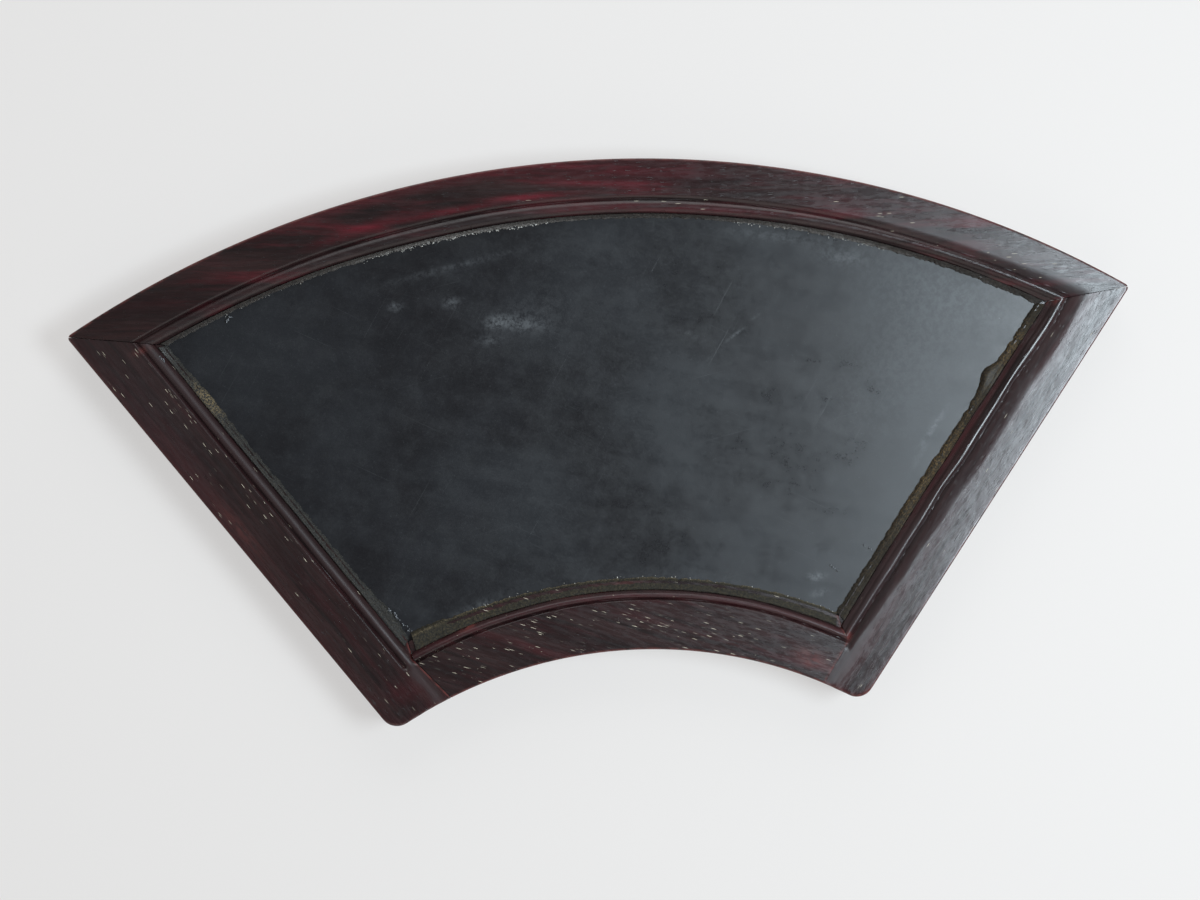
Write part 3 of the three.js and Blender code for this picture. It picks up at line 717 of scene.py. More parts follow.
def left_marks(flat):
    v = from_left(flat)
    edge = to_outline(flat)
    worn = 0.35 * near(edge, 0.9) + 1.1 * by_seam(-1, flat, 0.9)
    worn += spots(flat, (0.35, (-181.5, -57.0), 3.5, 1.2, 20), (0.2, (-148, -128), 12, 2, -54))
    dusty = 0.06 + spots(
        flat, (0.95, (-166, -84), 24, 3.2, -54), (0.6, (-186, -66), 8, 5, -54),
        (0.85, (-130, -130), 24, 2.6, -54), (0.5, (-92, -180), 12, 2.5, -54),
        (0.5, (-106, -160), 18, 2.0, -54), (0.8, (-94, -183), 7, 2.5, -54),
    )
    red = 0.12 * near(edge, 4)
    red += spots(flat, (0.12, (-165, -105), 30, 4, -54), (0.2, (-88, -195), 8, 5))
    # The dull share: a rougher finish and a painted sheen along the bead and over the upper stile.
    dull_and_sheen = near(abs(v - 5), 2.6) * (1 - 0.7 * spot(flat, (-94, -183), 9, 6, -54))
    dull_and_sheen = min(1, dull_and_sheen + 0.45 * spot(flat, (-182, -78), 45, 16, -54))
    return min(worn, 1), min(dusty, 1), min(red, 1), dull_and_sheen


def right_lip(flat):
    share = from_side(1, flat)[1] / SIDE_LENGTH
    drift = wander(share * SIDE_LENGTH, 5, 0.5, 22)
    return between(share, (1.6, 1.9, 1.8, 2.2, 3.4)) + drift


def right_depth(flat):
    v, s = from_side(1, flat)
    w = from_bottom_arc(flat)
    share = s / SIDE_LENGTH
    slope = between(share, (2.0, 2.0, 2.1, 2.0, 1.6))
    bead = between(share, (4.4, 4.6, 4.4, 4.0, 3.2)) + wander(s, 9, 0.9, 18)
    cove = between(share, (5.6, 6.6, 6.6, 4.6, 2.6))
    return moulding(max(v, w), right_lip(flat), slope, bead, cove, 1.6)


def right_marks(flat):
    v, s = from_side(1, flat)
    edge = to_outline(flat)
    worn = 0.6 * near(edge, 1.0) + spots(
        flat, (0.5, (179, -54.5), 3.0, 1.6, 10), (0.8, (88.5, -184), 2.5, 1.2, 60),
        (0.35, (100, -204), 12, 2, 40),
    )
    dusty = 0.03 + 0.05 * spot(flat, (180, -75), 20, 8, 54)
    red = 0.25 * near(abs(v - 2.9), 1.3) * spot(flat, (140, -110), 40, 12, 54)
    red += 0.15 * near(abs(v - 15.5), 3) + 0.25 * near(edge, 2.5)
    # The dull share: a rougher finish and a painted sheen on the lower bead and along the cove.
    dull_and_sheen = near(abs(v - 5.5), 3) * share_of(s - 95, 50) + 0.6 * near(abs(v - 11.5), 4.5)
    return min(worn, 1), dusty, min(red, 1), dull_and_sheen


left_stile = stile_blank(-1, "rosewood_left_stile")
shape_face(left_stile, left_depth)
paint(left_stile, left_marks)
left_wood = rosewood("left_rosewood", -53.8, 0.10, 2)
dress(smooth(left_stile), left_wood, "rosewood", "panel", "left_stile")
right_stile = stile_blank(1, "rosewood_right_stile")
shape_face(right_stile, right_depth)
paint(right_stile, right_marks)
right_wood = rosewood("right_rosewood", 53.8, 0.05, 3, 0.18)
dress(smooth(right_stile), right_wood, "rosewood", "panel", "right_stile")

# Bottom rail. A short curved board cut from a straight plank whose grain slants down to the right.
# Its moulding is mitred into the stiles' and its shoulders butt against them, each with a tenon.
reach = asin(104 / BOTTOM_RADIUS)
bottom_rail = along_arc(
    "rosewood_bottom_rail", member_section(BOTTOM_WIDTH), bottom_centre, BOTTOM_SIGHT, -1, reach, 260
)
for side in (-1, 1):
    saw(bottom_rail, Vector((side * 100, -210)), Vector((0, 1)) * -side)
stile_places = []
tenons = []
for side in (-1, 1):
    far = [Vector((side * 160, -300)), Vector((side * 160, -100))]
    path = seam_path(side, -FOOT_SEAMS[side] / 2)
    stile_places.append(plate("stile_place", path + far, *THROUGH_Y))
    into = on_side(side, into_stile)
    middle = on_side(side, TENON_AT) + into * 3
    tenons.append(bar("tenon", middle, into, 2 * TENON_LENGTH - 6, TENON_WIDTH, *TENON_Y))
carve(bottom_rail, stile_places)
carve(bottom_rail, tenons, "UNION")
carve(bottom_rail, [peg_bore(side, TENON_PEG) for side in (-1, 1)])


def bottom_lip(flat):
    share = (flat[0] + BOTTOM_CHORD / 2) / BOTTOM_CHORD
    return between(share, (4.6, 4.0, 3.6, 3.6, 4.2)) + wander(flat[0], 7, 0.25, 25)


def bottom_depth(flat):
    share = (flat[0] + BOTTOM_CHORD / 2) / BOTTOM_CHORD
    bead = between(share, (3.2, 2.9, 2.7, 2.8, 3.2))
    return moulding(from_bottom_arc(flat), bottom_lip(flat), 0.6, bead, 0.9, 1.35)


def bottom_marks(flat):
    bead = near(abs(from_bottom_arc(flat) - 5.6), 1.6)
    worn = 0.85 * near(to_outline(flat), 1.0) + 0.5 * by_seam(1, flat, 1.2)
    worn += spots(
        flat, (0.9, (-61.5, -171), 4, 1.0, 25), (0.4, (-12, -160), 16, 1.2, 8),
        (0.5, (73, -192), 6, 3, -30),
    )
    dusty = 0.12 + spots(
        flat, (0.85, (-55, -180), 30, 6, 15), (0.75, (15, -175), 26, 6, -10),
        (0.7, (-76, -182), 7, 2, 20),
    )
    # The last share is dull: a rougher finish and a painted sheen on the bead.
    return min(worn, 1), min(dusty, 1), 0.25 * bead, 0.3 * bead


shape_face(bottom_rail, bottom_depth)
paint(bottom_rail, bottom_marks)
bottom_wood = rosewood("bottom_rosewood", -20, 0.25, 4)
dress(smooth(bottom_rail), bottom_wood, "rosewood", "panel", "bottom_rail")

# Splines. A loose tongue of the same wood across each top mitre, with its grain across the joint.
# Each is shut inside its slot, so the plain solids serve, in this wood.
for side, name in ((-1, "left"), (1, "right")):
    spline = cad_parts[f"{name}_mitre_spline"]
    spline.data.materials.clear()
    spline.data.materials.append(rosewood(f"{name}_spline_wood", 90 - side * 7, 0.1, 5))

# Stone slab. Near-black blue-grey stone, sawn to the fan and honed on its face by hand, so it is
# very slightly uneven, clouded, and scuffed by cleaning. It lies in the rabbet behind the lip.
STONE_CLEARANCE = 0.4
STONE_ARRIS = 0.5

slab_low, slab_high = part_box("stone_slab")
STONE_Y = slab_low.y / MM


def fan_arc(corner, centre, radius, steps=60):
    """An arc of the fan from its left edge to its right one, on which the corner's point lies."""
    end = meets_arc(corner, down, centre, radius)
    reach = asin(end.x / radius)
    turns = [reach * (2 * i / steps - 1) for i in range(steps + 1)]
    return [Vector((0, centre)) + Vector((sin(turn), cos(turn))) * radius for turn in turns]


def wiped_marks(tree):
    """Fine scratches from wiping, in three directions."""
    scratches = None
    for angle, seed in ((58, 0.0), (-28, 40.0), (12, 80.0)):
        lines = stretched(tree, grain_place(tree, angle), 0.018, 1.3)
        line = put(
            tree, "TexNoise", noise_dimensions="4D", Vector=lines, Scale=1.0, Detail=3.0,
            Roughness=0.6, W=seed,
        )
        thin = step_up(tree, line.outputs[0], 0.64, 0.74, 0.0, 0.55)
        scratches = thin if scratches is None else maths(tree, "ADD", scratches, thin, clamp=True)
    return scratches


def stone():
    """Honed near-black blue-grey stone: clouds, specks, scratches, painted dusty places and a painted
    sheen.
    """
    material, tree, shader = new_material("honed_stone")
    place = grain_place(tree, 33)
    clouds = cloudy(tree, place, 0.018, 5.0, 0.6)
    mottle = cloudy(tree, place, 0.12, 6.0, 0.7)
    specks = cloudy(tree, place, 1.2, 3.0, 0.7)
    scratches = wiped_marks(tree)
    ground = step_up(tree, clouds, 0.35, 0.65)
    colour = blend(tree, ground, (0.0052, 0.0055, 0.0076), (0.0108, 0.0126, 0.0160))
    pale = step_up(tree, mottle, 0.45, 0.75, 0.0, 0.25)
    colour = blend(tree, pale, colour, (0.0190, 0.0215, 0.0245))
    speckled = step_up(tree, specks, 0.62, 0.78, 0.0, 0.5)
    colour = blend(tree, speckled, colour, (0.040, 0.045, 0.050))
    colour = blend(tree, maths(tree, "MULTIPLY", scratches, 0.35), colour, (0.06, 0.065, 0.07))
    # Pale haze from the painted marks: dust and scuffs, and at the upper right a painted sheen.
    haze_and_sheen = step_up(tree, cloudy(tree, place, 0.5, 5.0, 0.7), 0.35, 0.65)
    haze_and_sheen = maths(tree, "MULTIPLY", painted(tree)[1], haze_and_sheen)
    colour = blend(tree, haze_and_sheen, colour, (0.13, 0.14, 0.15))

    brushed = grain_noise(tree, grain_place(tree, -14), 0.016, 0.14, 5.0, 0.65)
    roughness = step_up(tree, clouds, 0.3, 0.7, 0.31, 0.37)
    roughness = maths(tree, "MULTIPLY_ADD", scratches, 0.08, roughness)
    roughness = maths(tree, "ADD", roughness, step_up(tree, brushed, 0.3, 0.7, -0.02, 0.04))
    roughness = maths(tree, "ADD", roughness, step_up(tree, mottle, 0.35, 0.65, -0.03, 0.03))
    roughness = maths(tree, "ADD", roughness, step_up(tree, specks, 0.35, 0.65, -0.022, 0.022))

    grit = maths(tree, "MULTIPLY", cloudy(tree, place, 3.0), 0.35)
    height = maths(tree, "MULTIPLY_ADD", scratches, -0.4, grit)
    join_up(tree, shader, colour, roughness, height, 0.4, 0.0001)
    return material


def soften(piece, edge, angle=40):
    """Round the sharp edges of a piece."""
    edit(piece)
    bpy.ops.mesh.select_all(action="DESELECT")
    bpy.ops.mesh.edges_select_sharp(sharpness=radians(angle))
    bpy.ops.mesh.bevel(offset=edge * MM, segments=2, affect="EDGES")
    return tidy(piece)


def fan(upper, lower, u, t):
    """A point of a fan: u runs from left to right, t from the upper arc to the lower."""
    ends = []
    for run in (upper, lower):
        place = min(u, 0.99999) * (len(run) - 1)
        first = int(place)
        ends.append(run[first].lerp(run[first + 1], place - first))
    return ends[0].lerp(ends[1], t)


beyond_sight = RABBET - STONE_CLEARANCE
side_inset = outward * (SIDE_WIDTH - beyond_sight)
upper_run = fan_arc(top_corner - side_inset, top_centre, TOP_SIGHT + beyond_sight)
lower_run = fan_arc(foot_corner - side_inset, bottom_centre, BOTTOM_SIGHT - beyond_sight)
bpy.ops.object.select_all(action="DESELECT")
bpy.ops.mesh.primitive_grid_add(x_subdivisions=220, y_subdivisions=110, size=1)
slab = bpy.context.object
slab.name = slab.data.name = "stone_slab_honed"
for vertex in slab.data.vertices:
    flat = fan(upper_run, lower_run, vertex.co.x + 0.5, 0.5 - vertex.co.y)
    vertex.co = at(flat, STONE_Y)
edit(slab)
thickness = (0, slab_high.y - slab_low.y, 0)
bpy.ops.mesh.extrude_region_move(TRANSFORM_OT_translate={"value": thickness})
tidy(slab)
soften(slab, STONE_ARRIS, 60)
for vertex in slab.data.vertices:
    if vertex.co.y < slab_low.y + 0.01 * MM:
        flat = vertex.co / MM
        vertex.co.y += (0.04 + 0.04 * noise.noise(Vector((flat.x / 30, flat.z / 30, 5)))) * MM


def slab_marks(flat):
    """Dust and scuffs, each placed where the stone shows it, and a painted sheen at the upper right.
    """
    haze_and_sheen = spots(
        flat, (0.6, (-83.5, -44.5), 2.6, 1.6), (0.6, (-61.5, -44.0), 3.0, 2.0),
        (0.6, (-44.5, -52.5), 4.5, 2.2, 10), (0.55, (-35.5, -53.5), 9.0, 2.6, -8),
        (0.35, (-47.0, -59.5), 5.0, 1.8), (0.15, (-30.0, -50.0), 16.0, 7.0),
        (0.45, (50.0, -62.0), 11.0, 0.35, 38), (0.35, (33.0, -61.5), 5.0, 0.35, -30),
        (0.55, (128.0, -103.0), 8.0, 1.0, 54), (0.3, (123.0, -112.0), 8.0, 0.8, 58),
        (0.6, (77.5, -160.0), 3.6, 1.6), (0.4, (78.5, -166.5), 3.5, 1.4, 10),
        (0.35, (95.0, -33.0), 9.0, 2.6, -8), (0.25, (70.0, -24.0), 26.0, 2.0, -10),
        (0.3, (-60.0, -30.0), 26.0, 1.2, 12), (0.16, (20.0, -158.0), 30.0, 3.0, -4),
        (0.35, (-60.0, -165.0), 12.0, 2.0, 24), (0.12, (120.0, -70.0), 40.0, 22.0, 50),
        # A painted sheen: a broad pale spot at the upper right, in place of a reflection there.
        (0.14, (140.0, -48.0), 44.0, 14.0, -24),
    )
    return 0, min(haze_and_sheen, 1), 0, 0


paint(slab, slab_marks)
dress(smooth(slab), stone(), "dark_stone", "panel", "stone_slab")

# Putty. Lacquer putty run by hand into the step between the stone and the bead, on all four sides.
# It is uneven, crumbled along its edge, chipped to a glossy lump near the top of the right side,
# whitish along the top, yellow-brown at the sides and greenish along the bottom.
PUTTY_GAP = 0.12
PUTTY_INNER = -0.9
PUTTY_OUTER = 0.5
PUTTY_BED_Y = STONE_Y - 0.05
PUTTY_BACK_Y = LIP_BACK_Y - 1.6
RUN_SHORT = 0.1
CORNER_SHORT = 1.5


def putty_section():
    """The rim of a putty run: its open face from the stone to the bead, then back over the lip."""
    face = []
    for i in range(11):
        v = PUTTY_INNER * (1 - i / 10) + PUTTY_OUTER * i / 10
        face.append((v, PUTTY_BED_Y - 0.28 * i))
    return face + [(PUTTY_OUTER, PUTTY_BACK_Y), (-0.3, PUTTY_BACK_Y), (-0.3, PUTTY_BED_Y)]


def knead(piece, away, step_out, lip_at, seed, swell):
    """Press the open face of a run: its edge wanders over the stone and its top follows the bead."""
    for vertex in piece.data.vertices:
        place = vertex.co / MM
        flat = Vector((place.x, place.z))
        v = away(flat)
        t = share_of(v - PUTTY_INNER, PUTTY_OUTER - PUTTY_INNER)
        if place.y > PUTTY_BED_Y - 2.8 * t + 0.02 and v > -0.35:
            if v > 0.2:
                vertex.co += at(step_out(flat) * (lip_at(flat) - PUTTY_GAP - PUTTY_OUTER), 0)
            continue
        rough = noise.noise(Vector((flat.x / 1.1, flat.y / 1.1, seed)))
        lumps = noise.noise(Vector((flat.x / 3.5, flat.y / 3.5, seed + 5)))
        bits = noise.noise(Vector((flat.x / 0.6, flat.y / 0.6, seed + 9)))
        edge = swell(flat) + 0.5 * lumps + 0.4 * rough + 0.25 * bits
        new_v = (PUTTY_INNER - edge) * (1 - t) + (lip_at(flat) - PUTTY_GAP) * t
        rise = t ** 0.8 * (2.75 + 0.3 * lumps + 0.22 * rough) * (0.85 if t > 0.95 else 1)
        rise += 0.5 * swell(flat) * sin(pi * min(t * 1.6, 1))
        vertex.co += at(step_out(flat) * (new_v - v), 0)
        vertex.co.y = (PUTTY_BED_Y - rise) * MM


def putty_finish(name, body, yellow, pale):
    """Dull crumbly putty, painted with yellow-brown, pale crumbly and glossy places."""
    material, tree, shader = new_material(name)
    place = grain_place(tree, 0)
    grains = cloudy(tree, place, 1.4, 5.0, 0.75)
    fine = cloudy(tree, place, 4.0, 3.0, 0.7)
    pale_here, yellow_here, glossy = painted(tree)[:3]
    colour = blend(tree, step_up(tree, grains, 0.3, 0.7), tuple(c * 0.4 for c in body), body)
    share = maths(tree, "MULTIPLY", yellow_here, step_up(tree, grains, 0.45, 0.62))
    colour = blend(tree, share, colour, yellow)
    share = maths(tree, "MULTIPLY", pale_here, step_up(tree, fine, 0.46, 0.62))
    colour = blend(tree, share, colour, pale)
    roughness = step_up(tree, glossy, 0.0, 1.0, 0.75, 0.25)
    join_up(tree, shader, colour, roughness, grains, 0.9, 0.0003)
    shader.inputs["Specular IOR Level"].default_value = 0.35
    return material


def arc_run(name, centre, sight, turn_out, steps):
    """A putty run along an arc, sawn at both mitres; turn_out is 1 where outward is upward."""
    end, corner = (sight_upper, top_corner) if turn_out > 0 else (sight_lower, foot_corner)
    reach = asin((end.x + 3) / sight)
    piece = along_arc(name, putty_section(), centre, sight, turn_out, reach, steps)
    for side in (-1, 1):
        line = on_side(side, (corner - end).normalized())
        lower_left = turn_out < 0 and side < 0
        short = CORNER_SHORT if lower_left else RUN_SHORT
        saw(piece, on_side(side, end) + Vector((-side * short, 0)), line * -side * turn_out)
    return piece


def side_run(name, side, steps=400):
    """A putty run down a stile, sawn at both mitres."""
    origin = on_side(side, sight_upper - down * 8)
    step = ((sight_lower - sight_upper).length + 16) / steps
    piece = along_side(name, putty_section(), side, origin, step, steps)
    saw(piece, on_side(side, sight_upper) + Vector((0, -RUN_SHORT)), on_side(side, mitre) * side)
    line = on_side(side, (foot_corner - sight_lower).normalized())
    saw(piece, on_side(side, sight_lower) + Vector((side * RUN_SHORT, 0)), line * -side)
    return piece


def top_out(flat):
    return (flat - Vector((0, top_centre))).normalized()


def bottom_out(flat):
    return (Vector((0, bottom_centre)) - flat).normalized()


def left_out(flat):
    return on_side(-1, outward)


def right_out(flat):
    return outward


def top_swell(flat):
    """How far the putty spreads over the stone along the top."""
    return 0.1


def bottom_swell(flat):
    return 0.1 + 2.2 * spot(flat, (-86, -170), 14, 10)


def left_swell(flat):
    return 0.2 + 0.6 * spot(flat, (-157, -77), 9, 5, -54) + 1.5 * spot(flat, (-91, -163), 7, 7)


def right_swell(flat):
    lump = 2.9 * spot(flat, (151.5, -83.5), 5.5, 6, 54)
    return lump + 0.5 * spot(flat, (118, -130), 20, 6, 54) + 0.4


def top_putty_marks(flat):
    edge = near(abs(from_top_arc(flat) + 0.9), 0.7)
    whitish = spot(flat, (-58, -20), 36, 60) + 0.8 * spot(flat, (83, -20), 30, 60) + 0.25
    return min(1, whitish * (0.35 + edge)), 0.25, 0.3 * spot(flat, (-150, -47), 12, 8), 0


def bottom_putty_marks(flat):
    thin_line = near(abs(from_bottom_arc(flat) + 1.1), 0.4)
    bright = 0.8 + 0.2 * noise.noise(Vector((flat.x / 6, 1, 1)))
    return min(1, thin_line * bright), 0.35 + 0.5 * spot(flat, (-55, -164), 10, 3, 20), 0.1, 0


def left_putty_marks(flat):
    v, s = from_side(-1, flat)
    lines = 0.5 + 0.5 * sin(v * 9 + 2 * noise.noise(Vector((s / 14, 2, 5))))
    yellow = 0.85 * spot(flat, (-157, -77), 7, 3, -54) + 0.05
    pale = 0.25 * lines + 0.8 * spot(flat, (-176, -60), 4, 4)
    return pale, yellow, 0.8 * spot(flat, (-175, -61), 5, 4), 0


def right_putty_marks(flat):
    v, s = from_side(1, flat)
    lines = 0.5 + 0.5 * sin(v * 8 + 3 * noise.noise(Vector((s / 12, 7, 5))))
    yellow = 0.15 + spots(flat, (0.9, (160, -72), 9, 5, 54), (0.8, (127, -117), 26, 5, 54))
    return 0.15 * lines, yellow * (0.4 + 0.6 * lines), spot(flat, (152, -84), 5, 2.5, 54), 0


def run_putty(where, run, away, step_out, lip_at, seed, swell, marks, body, yellow, pale):
    """Knead, paint and dress a run of putty."""
    knead(run, away, step_out, lip_at, seed, swell)
    paint(run, marks)
    dull_putty = putty_finish(f"{where}_putty_finish", body, yellow, pale)
    dress(smooth(run, 60), dull_putty, "lacquer_putty", "panel", f"{where}_putty")


run_putty(
    "top", arc_run("putty_along_top", top_centre, TOP_SIGHT, 1, 900),
    from_top_arc, top_out, top_lip, 11, top_swell, top_putty_marks,
    (0.026, 0.022, 0.020), (0.10, 0.075, 0.05), (0.42, 0.40, 0.38),
)
run_putty(
    "bottom", arc_run("putty_along_bottom", bottom_centre, BOTTOM_SIGHT, -1, 420),
    from_bottom_arc, bottom_out, bottom_lip, 12, bottom_swell, bottom_putty_marks,
    (0.022, 0.019, 0.013), (0.085, 0.065, 0.030), (0.36, 0.29, 0.17),
)
run_putty(
    "left", side_run("putty_down_left", -1),
    from_left, left_out, left_lip, 13, left_swell, left_putty_marks,
    (0.017, 0.016, 0.014), (0.26, 0.19, 0.09), (0.26, 0.27, 0.27),
)
run_putty(
    "right", side_run("putty_down_right", 1),
    from_right, right_out, right_lip, 14, right_swell, right_putty_marks,
    (0.022, 0.017, 0.011), (0.20, 0.125, 0.045), (0.25, 0.25, 0.22),
)

# Crumbs. Bits of putty and dust that have broken off and stuck along the edge of the stone: small
# whitish ones, thick along the top, and larger grey ones, most of them in the corners.
CRUMB_RUNS = [
    (top_centre, TOP_SIGHT, 1, -96, -22, 230, 0.30),
    (top_centre, TOP_SIGHT, 1, 52, 112, 60, 0.28),
    (top_centre, TOP_SIGHT, 1, -172, -100, 40, 0.24),
    (bottom_centre, BOTTOM_SIGHT, -1, -80, 84, 90, 0.22),
]
CRUMB_ROWS = [
    ((-177.6, -57.2), (-173.6, -61.8), -17.1, 18, 0.5),
    ((-173.0, -63.0), (-168.0, -70.0), -15.0, 8, 0.35),
    ((-93.0, -162.4), (-84.2, -171.8), -14.3, 26, 0.34),
    ((83.5, -155.5), (87.0, -159.0), -13.3, 7, 0.4),
    ((98.0, -148.0), (100.5, -150.5), -13.3, 4, 0.45),
    ((-149.0, -46.4), (-146.8, -45.2), -13.6, 5, 0.5),
    ((-24.0, -4.6), (-18.0, -3.6), -16.0, 9, 0.36),
]


def heap(name, crumbs, finish, shares):
    """Many small crumbs joined to one piece; each is (x, z, depth, size)."""
    dice = random.Random(name)
    lumps = []
    for x, z, y, size in crumbs:
        place = at((x, z), y)
        bpy.ops.mesh.primitive_ico_sphere_add(subdivisions=1, radius=size * MM, location=place)
        lump = bpy.context.object
        lump.rotation_euler = [dice.uniform(0, 6) for _ in range(3)]
        lump.scale = (dice.uniform(0.7, 1.8), dice.uniform(0.3, 0.8), dice.uniform(0.5, 1.1))
        lumps.append(lump)
    for lump in lumps:
        lump.select_set(True)
    bpy.ops.object.join()
    bpy.ops.object.transform_apply(location=True, rotation=True, scale=True)
    piece = bpy.context.object
    piece.name = piece.data.name = name
    paint(piece, lambda flat: shares)
    dress(piece, finish, "lacquer_putty", "panel")


dice = random.Random(8)
small = []
for centre, sight, turn_out, first, last, count, size in CRUMB_RUNS:
    for _ in range(count):
        x = dice.uniform(first, last)
        edge = sight + turn_out * (-0.9 + 0.4 * dice.gauss(0, 1))
        z = centre + sqrt(edge**2 - x**2)
        small.append((x, z, STONE_Y - 0.1, size * dice.uniform(0.35, 1.3)))
pale_finish = putty_finish("pale_crumbs", (0.60, 0.58, 0.54), (0.2, 0.15, 0.1), (0.92, 0.90, 0.86))
heap("small_putty_crumbs", small, pale_finish, (0.6, 0.1, 0.2, 0))
grey_finish = putty_finish("grey_crumbs", (0.10, 0.11, 0.12), (0.1, 0.08, 0.06), (0.60, 0.63, 0.68))
large = []
for first, last, y, count, size in CRUMB_ROWS:
    for _ in range(count):
        flat = Vector(first).lerp(Vector(last), dice.random())
        x = flat.x + 0.35 * dice.gauss(0, 1)
        z = flat.y + 0.35 * dice.gauss(0, 1)
        large.append((x, z, y, size * dice.uniform(0.4, 1.4)))
heap("large_putty_crumbs", large, grey_finish, (0.5, 0.1, 0.8, 0))

# Backing boards. Two thin softwood boards, edge to edge, that lie in the rabbet behind the slab.
# They were planed by hand and have darkened, and each has a trench for the battens.
BOARD_Y = (-7.6, -4.4)
BOARD_SPLIT_Z = -88.0
BATTEN_X = 100.0
BATTEN_WIDTH = 15.0
BATTEN_Y = (-5.8, -1.8)


def softwood(name, angle, tone, seed):
    """Aged softwood: growth rings, planing marks and grime."""
    material, tree, shader = new_material(name)
    place = grain_place(tree, angle)
    drawn_out = stretched(tree, place, 0.008, 0.03)
    warp = put(tree, "TexNoise", noise_dimensions="4D", Vector=drawn_out, Scale=1.0, W=seed)
    warp = maths(tree, "MULTIPLY", warp.outputs[0], 26.0)
    rings = put(tree, "SeparateXYZ", Vector=place).outputs[2]
    rings = maths(tree, "FRACT", maths(tree, "MULTIPLY_ADD", rings, 0.35, warp))
    late = step_up(tree, rings, 0.55, 0.97)
    late_wood = tuple(c * 0.55 for c in tone)
    colour = blend(tree, maths(tree, "MULTIPLY", late, 0.8), tone, late_wood)
    fibres = grain_noise(tree, place, 0.06, 3.0, 3.0)
    fibre_tones = blend(tree, fibres, (0.5, 0.5, 0.5), (1.4, 1.4, 1.4))
    colour = blend(tree, 0.5, colour, fibre_tones, "MULTIPLY")
    grime = step_up(tree, cloudy(tree, place, 0.03, 5.0, 0.65), 0.5, 0.75, 0.0, 0.6)
    colour = blend(tree, grime, colour, tuple(c * 0.3 for c in tone))
    height = maths(tree, "MULTIPLY_ADD", late, 0.6, fibres)
    join_up(tree, shader, colour, 0.72, height, 0.5, 0.0002)
    return material


for name, sign in (("upper", 1), ("lower", -1)):
    board = plate(f"softwood_{name}_board", upper_run + lower_run[::-1], *BOARD_Y)
    saw(board, Vector((0, BOARD_SPLIT_Z + sign * FIT / 2)), Vector((-sign, 0)))
    for side in (-1, 1):
        trench_at = Vector((side * BATTEN_X, -90))
        trench = (230, BATTEN_WIDTH + 2 * FIT, BATTEN_Y[0] - FIT, 0)
        carve(board, [bar("trench", trench_at, Vector((0, 1)), *trench)])
    soften(board, 0.25)
    wood = softwood(f"{name}_board_wood", 0.6 * sign, (0.235, 0.135, 0.078), 3 + sign)
    dress(smooth(board), wood, "softwood", "panel", f"{name}_backing_board")

# Battens. Two strips of the same softwood, planed and eased along their edges, and let into the
# boards across their joint to keep them flat.
for side, name in ((-1, "left"), (1, "right")):
    low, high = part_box(f"{name}_batten")
    middle = Vector((side * BATTEN_X, (low.z + high.z) / 2 / MM))
    size = ((high.z - low.z) / MM, BATTEN_WIDTH, *BATTEN_Y)
    batten = bar(f"softwood_{name}_batten", middle, Vector((0, 1)), *size)
    soften(batten, 0.7)
    wood = softwood(f"{name}_batten_wood", 90, (0.20, 0.115, 0.066), 9 + side)
    dress(smooth(batten), wood, "softwood", "panel", f"{name}_batten")

# Pegs. Split bamboo, whittled nearly round and cut flush behind: one through the tongue on each
# side of a mitre, and one through each tenon.
PEG_RADIUS = 1.6

pegs = [f"{side}_{part}_peg" for side in ("left", "right") for part in ("rail", "stile", "tenon")]
for name in pegs:
    low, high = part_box(name)
    middle = flat_middle(name)
    peg = rod(f"bamboo_{name}", middle, PEG_RADIUS, low.y / MM, high.y / MM - 0.05, 14)
    for vertex in peg.data.vertices:
        away = Vector((vertex.co.x, vertex.co.z)) / MM - middle
        whittled = away * (0.96 + 0.06 * noise.noise(Vector((away.x, away.y, middle.x))))
        vertex.co.x, vertex.co.z = (middle + whittled) * MM
    soften(peg, 0.15, 60)
    material, tree, shader = new_material(f"{name}_bamboo")
    ends = put(tree, "TexVoronoi", Vector=grain_place(tree, 0), Scale=3.2).outputs["Distance"]
    colour = blend(tree, step_up(tree, ends, 0.1, 0.35), (0.12, 0.07, 0.03), (0.40, 0.28, 0.13))
    tree.links.new(colour, shader.inputs["Base Color"])
    shader.inputs["Roughness"].default_value = 0.65
    dress(smooth(peg), material, "bamboo", "panel", name)

# Brads. Eight small headless iron nails, driven into the side of the rabbet, so that the half left
# standing out holds the boards down. Each tapers towards its point.
BRAD_LENGTH = 12.0
BRAD_RADIUS = 0.6


def rusty_iron():
    material, tree, shader = new_material("rusty_iron")
    place = grain_place(tree, 0)
    grains = cloudy(tree, place, 1.3, 5.0, 0.7)
    rust = step_up(tree, grains, 0.4, 0.62)
    colour = blend(tree, rust, (0.06, 0.05, 0.045), (0.16, 0.055, 0.022))
    roughness = step_up(tree, grains, 0.4, 0.62, 0.42, 0.85)
    metallic = step_up(tree, grains, 0.4, 0.62, 0.8, 0.1)
    join_up(tree, shader, colour, roughness, grains, 0.6, 0.0001, metallic)
    return material


